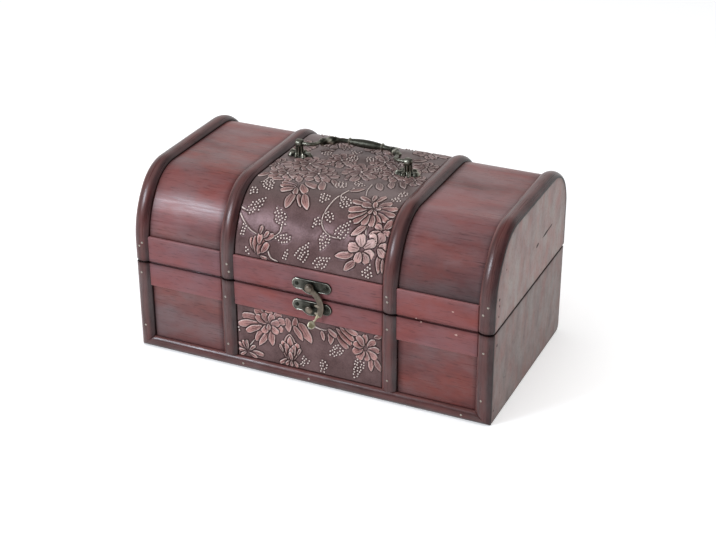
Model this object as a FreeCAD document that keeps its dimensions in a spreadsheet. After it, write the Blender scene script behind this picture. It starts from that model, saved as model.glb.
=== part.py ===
# A small domed wooden treasure chest with a hinged lid, a swing-hook latch and a bail handle.
# Frame: +X to the right, +Y to the back, +Z up. The origin is the middle of the underside.

import FreeCAD, Part
import math
import os
import Sketcher
from types import SimpleNamespace

doc = FreeCAD.newDocument("TreasureChest")

# Driving sizes in millimetres
drivingSizes = {
    # Box
    "chestWidth": 240,
    "chestDepth": 128.5,
    "baseHeight": 60.8,
    "lidGap": 1.1,
    "lidHeight": 56.1,
    "endBoard": 8,
    "wallBoard": 6,
    "floorBoard": 4,
    "footRound": 4,
    # Dome of the lid: two tangent arcs over the front panel, one over the back panel
    "lidBoard": 4,
    "domeStart": 12.1,
    "frontPanelRun": 34,
    "highArcSetback": 6,
    "domeBackRadius": 28,
    # Ribs, bands and foot moulding
    "ribWidth": 10,
    "ribHeight": 3.2,
    "ribShoulder": 1,
    "innerRibPlace": 54.5,
    "bandThickness": 2,
    "baseBandHeight": 15.8,
    "lidBandHeight": 17.1,
    "bandBevel": 0.6,
    "mouldHeight": 8,
    "trimGap": 0.2,
    "leatherThickness": 0.8,
    # Latch
    "latchPlace": 3.2,
    "pivotRise": 6.7,
    "hookDrop": 14.4,
    "plateThickness": 0.8,
    "plateShift": 0.6,
    "plateRise": 0.8,
    "plateLength": 26.4,
    "plateHeight": 7.6,
    "plateEndRound": 2.8,
    "plateWaist": 5.6,
    "plateDrop": 5.4,
    "platePinPlace": 9.9,
    "hookThickness": 1.4,
    "hookClearance": 0.3,
    "hookBoss": 2.9,
    "hookReach": 9.4,
    "hookArm": 4.1,
    "bellyRise": 3.2,
    "footOut": 7.4,
    "footOutBelow": 4.3,
    "footIn": 4.4,
    "footInBelow": 2.4,
    "tailRootOut": 8.5,
    "tailRootOutBelow": 2.6,
    "tailRootIn": 5.1,
    "tailRootInBelow": 1.4,
    "jawTip": 3.1,
    "jawWidth": 1.2,
    "upperJawRoot": 6.8,
    "lowerJawRoot": 6,
    "notchLift": 0.8,
    "jawClearance": 0.7,
    "tailEdge": 0,
    "tailBelow": 9.6,
    "tailWidth": 4.2,
    "tailThickness": 0.6,
    "tailSlope": 1.2,
    "tailFlare": 5.95,
    "rivetRadius": 1.3,
    "rivetShoulder": 2,
    "rivetHead": 2.5,
    "rivetDome": 1.45,
    "rivetFit": 0.1,
    "studNeck": 1.3,
    "studHead": 2.5,
    "studDome": 1.25,
    # Bail handle
    "handlePlace": -2.1,
    "handleSetback": 6.3,
    "postSpacing": 74.5,
    "bailRise": 8.4,
    "bailReach": 20,
    "bailRadius": 1.3,
    "bailEndRadius": 4.5,
    "bailInset": 3.3,
    "gripStraight": 10.5,
    "gripHalf": 12.2,
    "gripRadius": 2.4,
    "collarRadius": 2.1,
    "collarWidth": 1.6,
    "grooveRadius": 1.6,
    "bailRestGap": 3.5,
    "eyeFit": 0.1,
    "earThickness": 4.4,
    "earHalf": 3.5,
    "earWall": 1.2,
    "footLength": 18,
    "footWidth": 11,
    "footThickness": 1.2,
    "footPinPlace": 5.6,
    # Hinges
    "hingeInset": 36,
    "hingeWidth": 20,
    "leafHeight": 13,
    "leafThickness": 1,
    "knuckleRadius": 2,
    "knuckleGap": 0.2,
    "hingePinRadius": 0.8,
    "hingeFit": 0.05,
    "barrelClearance": 0.1,
    "leafClearance": 0.3,
    "hingeScrewPlace": 6,
    "hingeScrewInset": 4,
    # Pins and screws
    "pinShank": 0.7,
    "pinHead": 1.3,
    "pinDome": 0.6,
    "pinFit": 0.05,
}

sheet = doc.addObject("Spreadsheet::Sheet", "Sizes")
for row, (alias, number) in enumerate(drivingSizes.items(), start=1):
    sheet.set(f"A{row}", alias)
    sheet.set(f"B{row}", str(number))
    sheet.setAlias(f"B{row}", alias)
doc.recompute()


class Length:
    # A size in millimetres, kept both as a number and as the expression that drives it
    def __init__(self, text, value):
        self.text = text
        self.value = value

    def __add__(self, other):
        other = length(other)
        return Length(f"({self.text} + {other.text})", self.value + other.value)

    def __sub__(self, other):
        other = length(other)
        return Length(f"({self.text} - {other.text})", self.value - other.value)

    def __mul__(self, other):
        other = length(other)
        return Length(f"({self.text} * {other.text})", self.value * other.value)

    def __truediv__(self, other):
        other = length(other)
        return Length(f"({self.text} / {other.text})", self.value / other.value)

    def __neg__(self):
        return Length(f"(0 - {self.text})", -self.value)


def length(thing):
    return thing if isinstance(thing, Length) else Length(str(thing), float(thing))


def bind(target, name, amount):
    target.setExpression(name, length(amount).text)


size = SimpleNamespace(**{name: Length(f"Sizes.{name}", float(sheet.get(name))) for name in drivingSizes})
nodes = {}
upright = FreeCAD.Vector(0, 0, 1)


# Drawing helpers

def sketch_on(body, role, name, offset=(0, 0, 0), turn=FreeCAD.Rotation()):
    sketch = body.newObject("Sketcher::SketchObject", name)
    plane = [feature for feature in body.Origin.OriginFeatures if feature.Role == role][0]
    sketch.AttachmentSupport = [(plane, "")]
    sketch.MapMode = "FlatFace"
    sketch.AttachmentOffset = FreeCAD.Placement(FreeCAD.Vector(), turn)
    for axis, amount in zip("xyz", offset):
        bind(sketch, f"AttachmentOffset.Base.{axis}", amount)
    return sketch


def spot(point):
    return FreeCAD.Vector(length(point[0]).value, length(point[1]).value, 0)


def fix(sketch, geometry, end, point):
    for kind, amount in zip(("DistanceX", "DistanceY"), point):
        amount = length(amount)
        number = sketch.addConstraint(Sketcher.Constraint(kind, -1, 1, geometry, end, amount.value))
        sketch.setExpression(f"Constraints[{number}]", amount.text)


def set_radius(sketch, geometry, amount):
    number = sketch.addConstraint(Sketcher.Constraint("Radius", geometry, amount.value))
    sketch.setExpression(f"Constraints[{number}]", amount.text)


def end_near(sketch, geometry, point):
    first = sketch.getPoint(geometry, 1).distanceToPoint(spot(point))
    second = sketch.getPoint(geometry, 2).distanceToPoint(spot(point))
    return 1 if first < second else 2


def crown(here, there):
    # The middle of an arc that ends on the X line of a sketch and has its centre on that line
    startX, startY = (length(amount).value for amount in here)
    endX = length(there[0]).value
    centre = (startX ** 2 + startY ** 2 - endX ** 2) / (2 * (startX - endX))
    turn = math.atan2(startY, startX - centre) / 2
    if endX < centre:
        turn = (math.atan2(startY, startX - centre) + math.pi) / 2
    radius = abs(endX - centre)
    return centre + radius * math.cos(turn), radius * math.sin(turn)


def outline(sketch, start, *moves):
    # A closed outline of straight runs (x, y), arcs through a middle point (x, y, x, y)
    # and domes (x, y, None) that end on the X line of the sketch and are centred on it
    here = start
    pieces = []
    for move in moves:
        there = move[2:] if len(move) == 4 else move[:2]
        if len(move) == 2:
            shape = Part.LineSegment(spot(here), spot(there))
        else:
            middle = move[:2] if len(move) == 4 else crown(here, there)
            shape = Part.Arc(spot(here), spot(middle), spot(there))
        pieces.append((sketch.addGeometry(shape), here, move))
        here = there
    before = pieces[-1][0]
    for piece, corner, move in pieces:
        end = end_near(sketch, piece, corner)
        fix(sketch, piece, end, corner)
        sketch.addConstraint(
            Sketcher.Constraint("Coincident", before, end_near(sketch, before, corner), piece, end))
        before = piece
    for piece, corner, move in pieces:
        if len(move) == 4:
            middle = sketch.addGeometry(Part.Point(spot(move[:2])), True)
            fix(sketch, middle, 1, move[:2])
            sketch.addConstraint(Sketcher.Constraint("PointOnObject", middle, 1, piece))
        elif len(move) == 3:
            sketch.addConstraint(Sketcher.Constraint("PointOnObject", piece, 3, -1))


def circle(sketch, centre, radius):
    ring = sketch.addGeometry(Part.Circle(spot(centre), upright, length(radius).value))
    fix(sketch, ring, 3, centre)
    set_radius(sketch, ring, length(radius))


def new_body(name):
    body = doc.addObject("PartDesign::Body", name)
    body.Label = name
    return body


def pad(body, sketch, depth):
    feature = body.newObject("PartDesign::Pad", f"{sketch.Name}_pad")
    feature.Profile = sketch
    bind(feature, "Length", depth)
    return feature


def pocket(body, sketch, depth):
    feature = body.newObject("PartDesign::Pocket", f"{sketch.Name}_cut")
    feature.Profile = sketch
    bind(feature, "Length", depth)
    return feature


def prism(name, role, offset, depth, start, *moves):
    body = new_body(name)
    sketch = sketch_on(body, role, f"{name}_sketch", offset)
    outline(sketch, start, *moves)
    pad(body, sketch, depth)
    return body


def turned(name, axis, centre, start, *moves):
    # A turned piece: half profile of (distance along the spin line, radius), spun about Y or Z
    body = new_body(name)
    turn = FreeCAD.Rotation(upright, 0 if axis == "Y" else 90)
    sketch = sketch_on(body, "YZ_Plane", f"{name}_sketch", (centre[1], centre[2], centre[0]), turn)
    outline(sketch, start, *moves)
    spin = body.newObject("PartDesign::Revolution", f"{name}_spin")
    spin.Profile = sketch
    spin.ReferenceAxis = (sketch, ["H_Axis"])
    spin.Angle = 360
    return body


def board(name, low, high):
    box = doc.addObject("Part::Box", name)
    box.Label = name
    for side, axis, start, end in zip(("Length", "Width", "Height"), "xyz", low, high):
        bind(box, side, length(end) - start)
        bind(box, f"Placement.Base.{axis}", start)
    return box


def combine(kind, name, base, tool):
    result = doc.addObject(f"Part::{kind}", name)
    result.Label = name
    result.Base = base
    result.Tool = tool
    return result


def group(name, members):
    compound = doc.addObject("Part::Compound", name)
    compound.Label = name
    compound.Links = members
    return compound


def keep(thing):
    nodes[thing.Label] = thing
    return thing


# Shared planes and places

front = -(size.chestDepth / 2)
back = size.chestDepth / 2
half = size.chestWidth / 2
inside = half - size.endBoard
lidFoot = size.baseHeight + size.lidGap
lidTop = lidFoot + size.lidHeight
leatherTop = lidTop + size.leatherThickness
bandFace = front - size.bandThickness
baseBandFoot = size.baseHeight - size.baseBandHeight
lidBandTop = lidFoot + size.lidBandHeight
ribHalf = size.ribWidth / 2
endRibPlace = half - ribHalf
ribPlaces = {
    "end_left": -endRibPlace,
    "inner_left": -size.innerRibPlace,
    "inner_right": size.innerRibPlace,
    "end_right": endRibPlace,
}
bays = {
    "left": (-endRibPlace + ribHalf + size.trimGap, -size.innerRibPlace - ribHalf - size.trimGap),
    "centre": (-size.innerRibPlace + ribHalf + size.trimGap, size.innerRibPlace - ribHalf - size.trimGap),
    "right": (size.innerRibPlace + ribHalf + size.trimGap, endRibPlace - ribHalf - size.trimGap),
}
sides = {"left": -1, "right": 1}


# Base box of five boards; the back lower edge is rounded over

baseBackInner = back - size.wallBoard
arcPoint = 1 - math.sqrt(0.5)

keep(board("base_front_panel", (-inside, front, 0), (inside, front + size.wallBoard, size.baseHeight)))
keep(board(
    "base_bottom_panel", (-inside, front + size.wallBoard, 0), (inside, baseBackInner, size.floorBoard)))


def rounded_back(name, start, depth, nearEdge):
    return keep(prism(
        name, "YZ_Plane", (0, 0, start), depth,
        (nearEdge, 0),
        (back - size.footRound, 0),
        (back - size.footRound * arcPoint, size.footRound * arcPoint, back, size.footRound),
        (back, size.baseHeight),
        (nearEdge, size.baseHeight),
        (nearEdge, 0)))


rounded_back("base_back_panel", -inside, inside * 2, baseBackInner)
rounded_back("base_left_end", -half, size.endBoard, front)
rounded_back("base_right_end", inside, size.endBoard, front)


# Half-round ribs: a shouldered round section, straight on the base and bent over the lid

def rib_section(sketch, place):
    shoulder = front - size.ribShoulder
    outline(
        sketch,
        (place - ribHalf, front),
        (place - ribHalf, shoulder),
        (place, front - size.ribHeight, place + ribHalf, shoulder),
        (place + ribHalf, front),
        (place - ribHalf, front))


def mitre_wedge(name, side):
    # The corner under the mitre line, which runs from the outer foot to the top of the foot moulding
    outer = half * side
    inner = (half - size.ribWidth) * side
    return prism(
        name, "XZ_Plane", (0, 0, -front), size.ribHeight,
        (inner, 0), (outer, 0), (inner, size.mouldHeight), (inner, 0))


for name, place in ribPlaces.items():
    ribName = f"base_rib_{name}"
    onEnd = name.startswith("end")
    foot = length(0) if onEnd else size.mouldHeight
    straight = new_body(f"{ribName}_whole" if onEnd else ribName)
    section = sketch_on(straight, "XY_Plane", f"{ribName}_section", (0, 0, foot))
    rib_section(section, place)
    pad(straight, section, size.baseHeight - foot)
    if onEnd:
        wedge = mitre_wedge(f"{ribName}_mitre", -1 if name == "end_left" else 1)
        straight = combine("Cut", ribName, straight, wedge)
    keep(straight)

mouldShoulder = front - size.ribShoulder
mouldWhole = prism(
    "foot_moulding_whole", "YZ_Plane", (0, 0, -half), size.chestWidth,
    (front, 0),
    (front, size.mouldHeight),
    (mouldShoulder, size.mouldHeight),
    (front - size.ribHeight, size.mouldHeight / 2, mouldShoulder, 0),
    (front, 0))
mouldSpan = prism(
    "foot_moulding_span", "XZ_Plane", (0, 0, -front), size.ribHeight,
    (-half, 0),
    (half, 0),
    (half - size.ribWidth, size.mouldHeight),
    (-half + size.ribWidth, size.mouldHeight),
    (-half, 0))
keep(combine("Common", "base_foot_moulding", mouldWhole, mouldSpan))


# Proud bands on both sides of the split, bevelled on the free edge

for name, (low, high) in bays.items():
    keep(prism(
        f"base_band_{name}", "YZ_Plane", (0, 0, low), high - low,
        (front, baseBandFoot),
        (front, size.baseHeight),
        (bandFace, size.baseHeight),
        (bandFace, baseBandFoot + size.bandBevel),
        (bandFace + size.bandBevel, baseBandFoot),
        (front, baseBandFoot)))
    keep(prism(
        f"lid_band_{name}", "YZ_Plane", (0, 0, low), high - low,
        (front, lidFoot),
        (front, lidBandTop),
        (bandFace + size.bandBevel, lidBandTop),
        (bandFace, lidBandTop - size.bandBevel),
        (bandFace, lidFoot),
        (front, lidFoot)))

leatherLow, leatherHigh = bays["centre"]
keep(board(
    "base_leather_panel",
    (leatherLow, front - size.leatherThickness, size.mouldHeight + size.trimGap),
    (leatherHigh, front, baseBandFoot - size.trimGap)))


# Domed lid: every board, skin and rib follows one profile of tangent lines and arcs

domeRise = size.lidHeight - size.domeStart
highArcRadius = size.frontPanelRun - size.highArcSetback
lowArcRadius = (
    (size.frontPanelRun * size.frontPanelRun + domeRise * domeRise - domeRise * highArcRadius * 2)
    / (size.highArcSetback * 2))


def dome_line(sketch, inset, foot):
    inset = length(inset)
    low = lowArcRadius - inset
    high = highArcRadius - inset
    rear = size.domeBackRadius - inset
    yFront = front + inset
    yBack = back - inset
    top = lidTop - inset
    start = lidFoot + size.domeStart
    lowCentre = FreeCAD.Vector(yFront.value + low.value, start.value, 0)
    rise = top.value - high.value - start.value
    run = math.sqrt((low.value - high.value) ** 2 - rise ** 2)
    highCentre = FreeCAD.Vector(lowCentre.x - run, top.value - high.value, 0)
    rearCentre = FreeCAD.Vector(yBack.value - rear.value, top.value - rear.value, 0)
    meeting = math.atan2(rise, -run)
    flatFront = FreeCAD.Vector(highCentre.x, top.value, 0)
    flatBack = FreeCAD.Vector(rearCentre.x, top.value, 0)
    frontRun, lowArc, highArc, flat, rearArc, backRun = sketch.addGeometry([
        Part.LineSegment(spot((yFront, foot)), spot((yFront, start))),
        Part.ArcOfCircle(Part.Circle(lowCentre, upright, low.value), meeting, math.pi),
        Part.ArcOfCircle(Part.Circle(highCentre, upright, high.value), math.pi / 2, meeting),
        Part.LineSegment(flatFront, flatBack),
        Part.ArcOfCircle(Part.Circle(rearCentre, upright, rear.value), 0, math.pi / 2),
        Part.LineSegment(FreeCAD.Vector(yBack.value, rearCentre.y, 0), spot((yBack, foot))),
    ])
    fix(sketch, frontRun, 1, (yFront, foot))
    fix(sketch, backRun, 2, (yBack, foot))
    sketch.addConstraint(Sketcher.Constraint("Vertical", frontRun))
    sketch.addConstraint(Sketcher.Constraint("Horizontal", flat))
    sketch.addConstraint(Sketcher.Constraint("Vertical", backRun))
    for joint in (
            (frontRun, 2, lowArc, 2), (lowArc, 1, highArc, 2), (highArc, 1, flat, 1),
            (flat, 2, rearArc, 2), (rearArc, 1, backRun, 1)):
        sketch.addConstraint(Sketcher.Constraint("Tangent", *joint))
    for line, end, amount in ((frontRun, 2, start), (flat, 1, top)):
        number = sketch.addConstraint(Sketcher.Constraint("DistanceY", -1, 1, line, end, amount.value))
        sketch.setExpression(f"Constraints[{number}]", amount.text)
    for arc, radius in ((lowArc, low), (highArc, high), (rearArc, rear)):
        set_radius(sketch, arc, radius)
    return frontRun, backRun, (yFront, foot), (yBack, foot)


def dome_prism(name, inset, foot, start, depth):
    body = new_body(name)
    sketch = sketch_on(body, "YZ_Plane", f"{name}_profile", (0, 0, start))
    frontRun, backRun, low, high = dome_line(sketch, inset, foot)
    closing = sketch.addGeometry(Part.LineSegment(spot(high), spot(low)))
    sketch.addConstraint(Sketcher.Constraint("Coincident", closing, 1, backRun, 2))
    sketch.addConstraint(Sketcher.Constraint("Coincident", closing, 2, frontRun, 1))
    pad(body, sketch, depth)
    return body


keep(dome_prism("lid_left_end", 0, lidFoot, -half, size.endBoard))
keep(dome_prism("lid_right_end", 0, lidFoot, inside, size.endBoard))

domeBlock = dome_prism("dome_block", 0, lidFoot, -inside, inside * 2)
domeHollow = dome_prism("dome_hollow", size.lidBoard, size.baseHeight, -half, half * 2)
domeShell = combine("Cut", "dome_shell", domeBlock, domeHollow)
panelJoints = [front, front + size.frontPanelRun, back - size.domeBackRadius, back]
for name, low, high in zip(("front", "top", "back"), panelJoints, panelJoints[1:]):
    zone = board(f"lid_{name}_zone", (-half, low, size.baseHeight), (half, high, leatherTop))
    keep(combine("Common", f"lid_{name}_panel", domeShell, zone))

skinBlock = dome_prism(
    "skin_block", -size.leatherThickness, size.baseHeight, leatherLow, leatherHigh - leatherLow)
skinCore = dome_prism("skin_core", 0, size.baseHeight, -inside, inside * 2)
skinShell = combine("Cut", "skin_shell", skinBlock, skinCore)
skinZone = board(
    "skin_zone",
    (-half, front - size.ribHeight, lidBandTop + size.trimGap),
    (half, back + size.ribHeight, leatherTop + size.ribHeight))
keep(combine("Common", "lid_leather_panel", skinShell, skinZone))

for name, place in ribPlaces.items():
    bent = new_body(f"lid_rib_{name}")
    spine = sketch_on(bent, "YZ_Plane", f"lid_rib_{name}_spine", (0, 0, place))
    dome_line(spine, 0, lidFoot)
    section = sketch_on(bent, "XY_Plane", f"lid_rib_{name}_section", (0, 0, lidFoot))
    rib_section(section, place)
    sweep = bent.newObject("PartDesign::AdditivePipe", f"lid_rib_{name}_sweep")
    sweep.Profile = section
    sweep.Spine = (spine, [])
    keep(bent)


# Pins and screws: a shank through the plate and a low round head on it

def pin(name, axis, centre, plate, way):
    seat = plate * way
    return turned(
        name, axis, centre,
        (0, 0), (0, size.pinShank), (seat, size.pinShank), (seat, size.pinHead),
        (seat + size.pinDome * way, 0, None),
        (0, 0))


# Latch: matching plates on the two bands, straight above and swelling below round the rivet or the stud,
# with round ends; a rivet, a headed stud and the swing hook

plateFace = bandFace - size.plateThickness
plateMiddle = size.latchPlace + size.plateShift
pivotHeight = lidFoot + size.pivotRise
studHeight = pivotHeight - size.hookDrop


def latch_plate(name, height):
    tip = size.plateLength / 2
    end = tip - size.plateEndRound
    waist = size.plateWaist
    line = height + size.plateRise
    top = line + size.plateHeight / 2
    foot = line - size.plateHeight / 2
    middle = plateMiddle
    centre = size.latchPlace
    body = prism(
        name, "XZ_Plane", (0, 0, -bandFace), size.plateThickness,
        (middle - end, top),
        (middle - tip, line, middle - end, foot),
        (centre - waist, foot),
        (centre, height - size.plateDrop, centre + waist, foot),
        (middle + end, foot),
        (middle + tip, line, middle + end, top),
        (middle - end, top))
    holes = sketch_on(body, "XZ_Plane", f"{name}_holes", (0, 0, -plateFace))
    for way in sides.values():
        circle(holes, (middle + size.platePinPlace * way, line), size.pinShank + size.pinFit)
    pocket(body, holes, size.plateThickness)
    return keep(body)


latch_plate("latch_plate", pivotHeight)
latch_plate("latch_keeper_plate", studHeight)
for name, height in (("latch_plate_pins", pivotHeight), ("latch_keeper_pins", studHeight)):
    keep(group(name, [
        pin(f"{name}_{side}", "Y",
            (plateMiddle + size.platePinPlace * way, bandFace, height + size.plateRise), size.plateThickness, -1)
        for side, way in sides.items()]))

# Depths in front of the plates: the hook clears the pin heads, and the two round heads clear the hook
hookBack = size.pinDome + size.hookClearance
hookFront = hookBack + size.hookThickness
headSeat = hookFront + size.hookClearance
keep(turned(
    "latch_rivet", "Y", (size.latchPlace, plateFace, pivotHeight),
    (0, 0), (0, size.rivetShoulder), (-size.pinDome, size.rivetShoulder), (-size.pinDome, size.rivetRadius),
    (-headSeat, size.rivetRadius), (-headSeat, size.rivetHead),
    (-headSeat - size.rivetDome, 0, None), (0, 0)))
keep(turned(
    "latch_stud", "Y", (size.latchPlace, plateFace, studHeight),
    (0, 0), (0, size.studNeck), (-headSeat, size.studNeck), (-headSeat, size.studHead),
    (-headSeat - size.studDome, 0, None), (0, 0)))

# The hook: a crescent arm with two jaws on its inner edge, a pivot boss and a tail flared to the front
hook = new_body("latch_hook")


def hook_sketch(name, depth):
    return sketch_on(hook, "XZ_Plane", name, (size.latchPlace, pivotHeight, depth - plateFace))


def below_stud(across, amount):
    # A point of the hook: across from the rivet, and so far below the height of the stud
    return across, -size.hookDrop - amount


shoulderShare = 0.8
throatShare = 0.95
footOut = below_stud(size.footOut, size.footOutBelow)
footIn = below_stud(size.footIn, size.footInBelow)
belly = -size.bellyRise
shoulder = (size.hookBoss * shoulderShare, 0)
throat = (0, -size.hookBoss * throatShare)
arm = hook_sketch("hook_arm", hookBack)
outline(
    arm,
    shoulder,
    (*below_stud(size.hookReach, belly), *footOut),
    footIn,
    (*below_stud(size.hookReach - size.hookArm, belly), *throat),
    shoulder)
pad(hook, arm, size.hookThickness)
boss = hook_sketch("hook_boss", hookBack)
circle(boss, (0, 0), size.hookBoss)
pad(hook, boss, size.hookThickness)
notchHalf = size.studNeck + size.jawClearance
for name, root, top in (
        ("hook_upper_jaw", size.upperJawRoot, -size.notchLift - notchHalf - size.jawWidth),
        ("hook_lower_jaw", size.lowerJawRoot, -size.notchLift + notchHalf)):
    jaw = hook_sketch(name, hookBack)
    corner = below_stud(size.jawTip, top)
    outline(
        jaw,
        corner,
        below_stud(size.jawTip, top + size.jawWidth),
        below_stud(root, top + size.jawWidth),
        below_stud(root, top),
        corner)
    pad(hook, jaw, size.hookThickness)
rootDepth = hookBack + size.hookThickness / 2
tailRoot = hook_sketch("hook_tail_root", rootDepth)
outline(
    tailRoot,
    footIn,
    footOut,
    below_stud(size.tailRootOut, size.tailRootOutBelow),
    below_stud(size.tailRootIn, size.tailRootInBelow),
    footIn)
tailTip = hook_sketch("hook_tail_tip", rootDepth + size.tailFlare)
tailEnd = size.tailEdge + size.tailWidth
tailCorner = below_stud(size.tailEdge, size.tailBelow)
outline(
    tailTip,
    tailCorner,
    below_stud(tailEnd, size.tailBelow + size.tailSlope),
    below_stud(tailEnd + size.tailThickness, size.tailBelow),
    below_stud(size.tailEdge + size.tailThickness, size.tailBelow - size.tailSlope),
    tailCorner)
tail = hook.newObject("PartDesign::AdditiveLoft", "hook_tail")
tail.Profile = tailRoot
tail.Sections = [tailTip]
tail.Ruled = True
hookBore = hook_sketch("hook_bore", hookFront)
circle(hookBore, (0, 0), size.rivetRadius + size.rivetFit)
pocket(hook, hookBore, size.hookThickness)
keep(hook)


# Bail handle: two cast feet with eyes, and the bail that lies back on the lid

eyeHeight = leatherTop + size.bailRise
earHalfThickness = size.earThickness / 2
eyeRadius = size.bailRadius + size.eyeFit
earTop = size.bailRise + eyeRadius + size.earWall

footPins = []
for name, way in sides.items():
    place = size.handlePlace + size.postSpacing / 2 * way
    footBody = prism(
        f"handle_foot_{name}", "XY_Plane", (place, size.handleSetback, leatherTop), size.footThickness,
        (-(size.footLength / 2), 0),
        (0, -(size.footWidth / 2), size.footLength / 2, 0),
        (0, size.footWidth / 2, -(size.footLength / 2), 0))
    ear = sketch_on(
        footBody, "YZ_Plane", f"handle_ear_{name}",
        (size.handleSetback, leatherTop, place - earHalfThickness))
    earSide = eyeRadius + size.earWall
    outline(
        ear,
        (-size.earHalf, 0),
        (size.earHalf, 0),
        (earSide, size.bailRise),
        (0, earTop, -earSide, size.bailRise),
        (-size.earHalf, 0))
    pad(footBody, ear, size.earThickness)
    eye = sketch_on(
        footBody, "YZ_Plane", f"handle_eye_{name}",
        (size.handleSetback, leatherTop, place + earHalfThickness))
    circle(eye, (0, size.bailRise), eyeRadius)
    pocket(footBody, eye, size.earThickness)
    holes = sketch_on(
        footBody, "XY_Plane", f"handle_foot_holes_{name}",
        (place, size.handleSetback, leatherTop + size.footThickness))
    for end in sides.values():
        circle(holes, (size.footPinPlace * end, 0), size.pinShank + size.pinFit)
        footPins.append(pin(
            f"handle_foot_pin_{len(footPins)}", "Z",
            (place + size.footPinPlace * end, size.handleSetback, leatherTop), size.footThickness, 1))
    pocket(footBody, holes, size.footThickness)
    keep(footBody)
keep(group("handle_foot_pins", footPins))

# The bail leans back and stops with its grip just over the skin of the lid; it is drawn about its own middle
leanDrop = size.bailRise - size.gripRadius - size.bailRestGap
lean = math.degrees(math.asin(leanDrop.value / size.bailReach.value))
leanText = f"-asin({leanDrop.text} / {size.bailReach.text})"
bail = new_body("handle_bail")
bind(bail, "Placement.Base.x", size.handlePlace)


def bail_sketch(name):
    turn = FreeCAD.Rotation(FreeCAD.Vector(1, 0, 0), -lean)
    sketch = sketch_on(bail, "XY_Plane", name, (0, size.handleSetback, eyeHeight), turn)
    sketch.setExpression("AttachmentOffset.Rotation.Angle", leanText)
    return sketch


endOut = size.postSpacing / 2 + earHalfThickness
bendStart = size.postSpacing / 2 - earHalfThickness - size.bailInset
spine = bail_sketch("bail_spine")
reach = size.bailReach.value
endArc = size.bailEndRadius.value
bendRun = bendStart.value - size.gripStraight.value
sideArc = (bendRun ** 2 + reach ** 2 - 2 * endArc * reach) / (2 * reach)
sideCentre = FreeCAD.Vector(size.gripStraight.value, reach - sideArc, 0)
endCentre = FreeCAD.Vector(bendStart.value, endArc, 0)
meeting = math.atan2(endCentre.y - sideCentre.y, bendRun)
trunnion, endBend, sideBend, gripRun = spine.addGeometry([
    Part.LineSegment(spot((endOut, 0)), spot((bendStart, 0))),
    Part.ArcOfCircle(Part.Circle(endCentre, upright, endArc), math.pi + meeting, 1.5 * math.pi),
    Part.ArcOfCircle(Part.Circle(sideCentre, upright, sideArc), meeting, math.pi / 2),
    Part.LineSegment(spot((size.gripStraight, size.bailReach)), spot((0, size.bailReach))),
])
fix(spine, trunnion, 1, (endOut, 0))
fix(spine, trunnion, 2, (bendStart, 0))
fix(spine, gripRun, 1, (size.gripStraight, size.bailReach))
fix(spine, gripRun, 2, (0, size.bailReach))
for joint in ((trunnion, 2, endBend, 2), (endBend, 1, sideBend, 1), (sideBend, 2, gripRun, 1)):
    spine.addConstraint(Sketcher.Constraint("Tangent", *joint))
set_radius(spine, endBend, size.bailEndRadius)

wire = sketch_on(bail, "YZ_Plane", "bail_wire", (size.handleSetback, eyeHeight, endOut))
circle(wire, (0, 0), size.bailRadius)
rod = bail.newObject("PartDesign::AdditivePipe", "bail_rod")
rod.Profile = wire
rod.Spine = (spine, [])

gripSketch = bail_sketch("bail_grip")
collarIn = size.gripHalf - size.collarWidth
groove = size.bailReach + size.grooveRadius
collarTop = size.bailReach + size.collarRadius
gripTop = size.bailReach + size.gripRadius
collarFoot = size.bailReach + size.bailRadius / 2
outline(
    gripSketch,
    (0, size.bailReach),
    (size.gripHalf, size.bailReach),
    (size.gripHalf, collarFoot),
    (collarIn + size.collarWidth / 2, collarTop, collarIn, groove),
    (collarIn / 2, gripTop - (size.gripRadius - size.grooveRadius) / 4, 0, gripTop),
    (0, size.bailReach))
axisLine = gripSketch.addGeometry(
    Part.LineSegment(spot((0, size.bailReach)), spot((size.gripHalf, size.bailReach))), True)
fix(gripSketch, axisLine, 1, (0, size.bailReach))
fix(gripSketch, axisLine, 2, (size.gripHalf, size.bailReach))
grip = bail.newObject("PartDesign::Revolution", "bail_grip_spin")
grip.Profile = gripSketch
grip.ReferenceAxis = (gripSketch, ["Axis0"])
grip.Angle = 360

mirror = bail.newObject("PartDesign::Mirrored", "bail_mirror")
mirror.Originals = [rod, grip]
mirror.MirrorPlane = ([plane for plane in bail.Origin.OriginFeatures if plane.Role == "YZ_Plane"][0], [""])
bail.Tip = mirror
keep(bail)


# Butt hinges on the back: two leaves with interleaved knuckles on one pin

hingeLine = size.baseHeight + size.lidGap / 2
barrelY = back + size.knuckleRadius + size.barrelClearance
knuckle = (size.hingeWidth - size.knuckleGap * 2) / 3
bore = size.hingePinRadius + size.hingeFit
leafRoom = size.knuckleRadius + size.leafClearance


def hinge_leaf(name, centre, way, ownKnuckles, plateMoves):
    body = prism(
        name, "XZ_Plane", (centre, hingeLine, -(back + size.leafThickness)), size.leafThickness, *plateMoves)
    for count, start in enumerate(ownKnuckles):
        ring = sketch_on(body, "YZ_Plane", f"{name}_knuckle_{count}", (barrelY, hingeLine, centre + start))
        circle(ring, (0, 0), size.knuckleRadius)
        circle(ring, (0, 0), bore)
        pad(body, ring, knuckle)
    holes = sketch_on(body, "XZ_Plane", f"{name}_holes", (centre, hingeLine, -back))
    for end in sides.values():
        circle(holes, (size.hingeScrewPlace * end, (size.leafHeight - size.hingeScrewInset) * way),
               size.pinShank + size.pinFit)
    pocket(body, holes, size.leafThickness)
    return keep(body)


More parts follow.
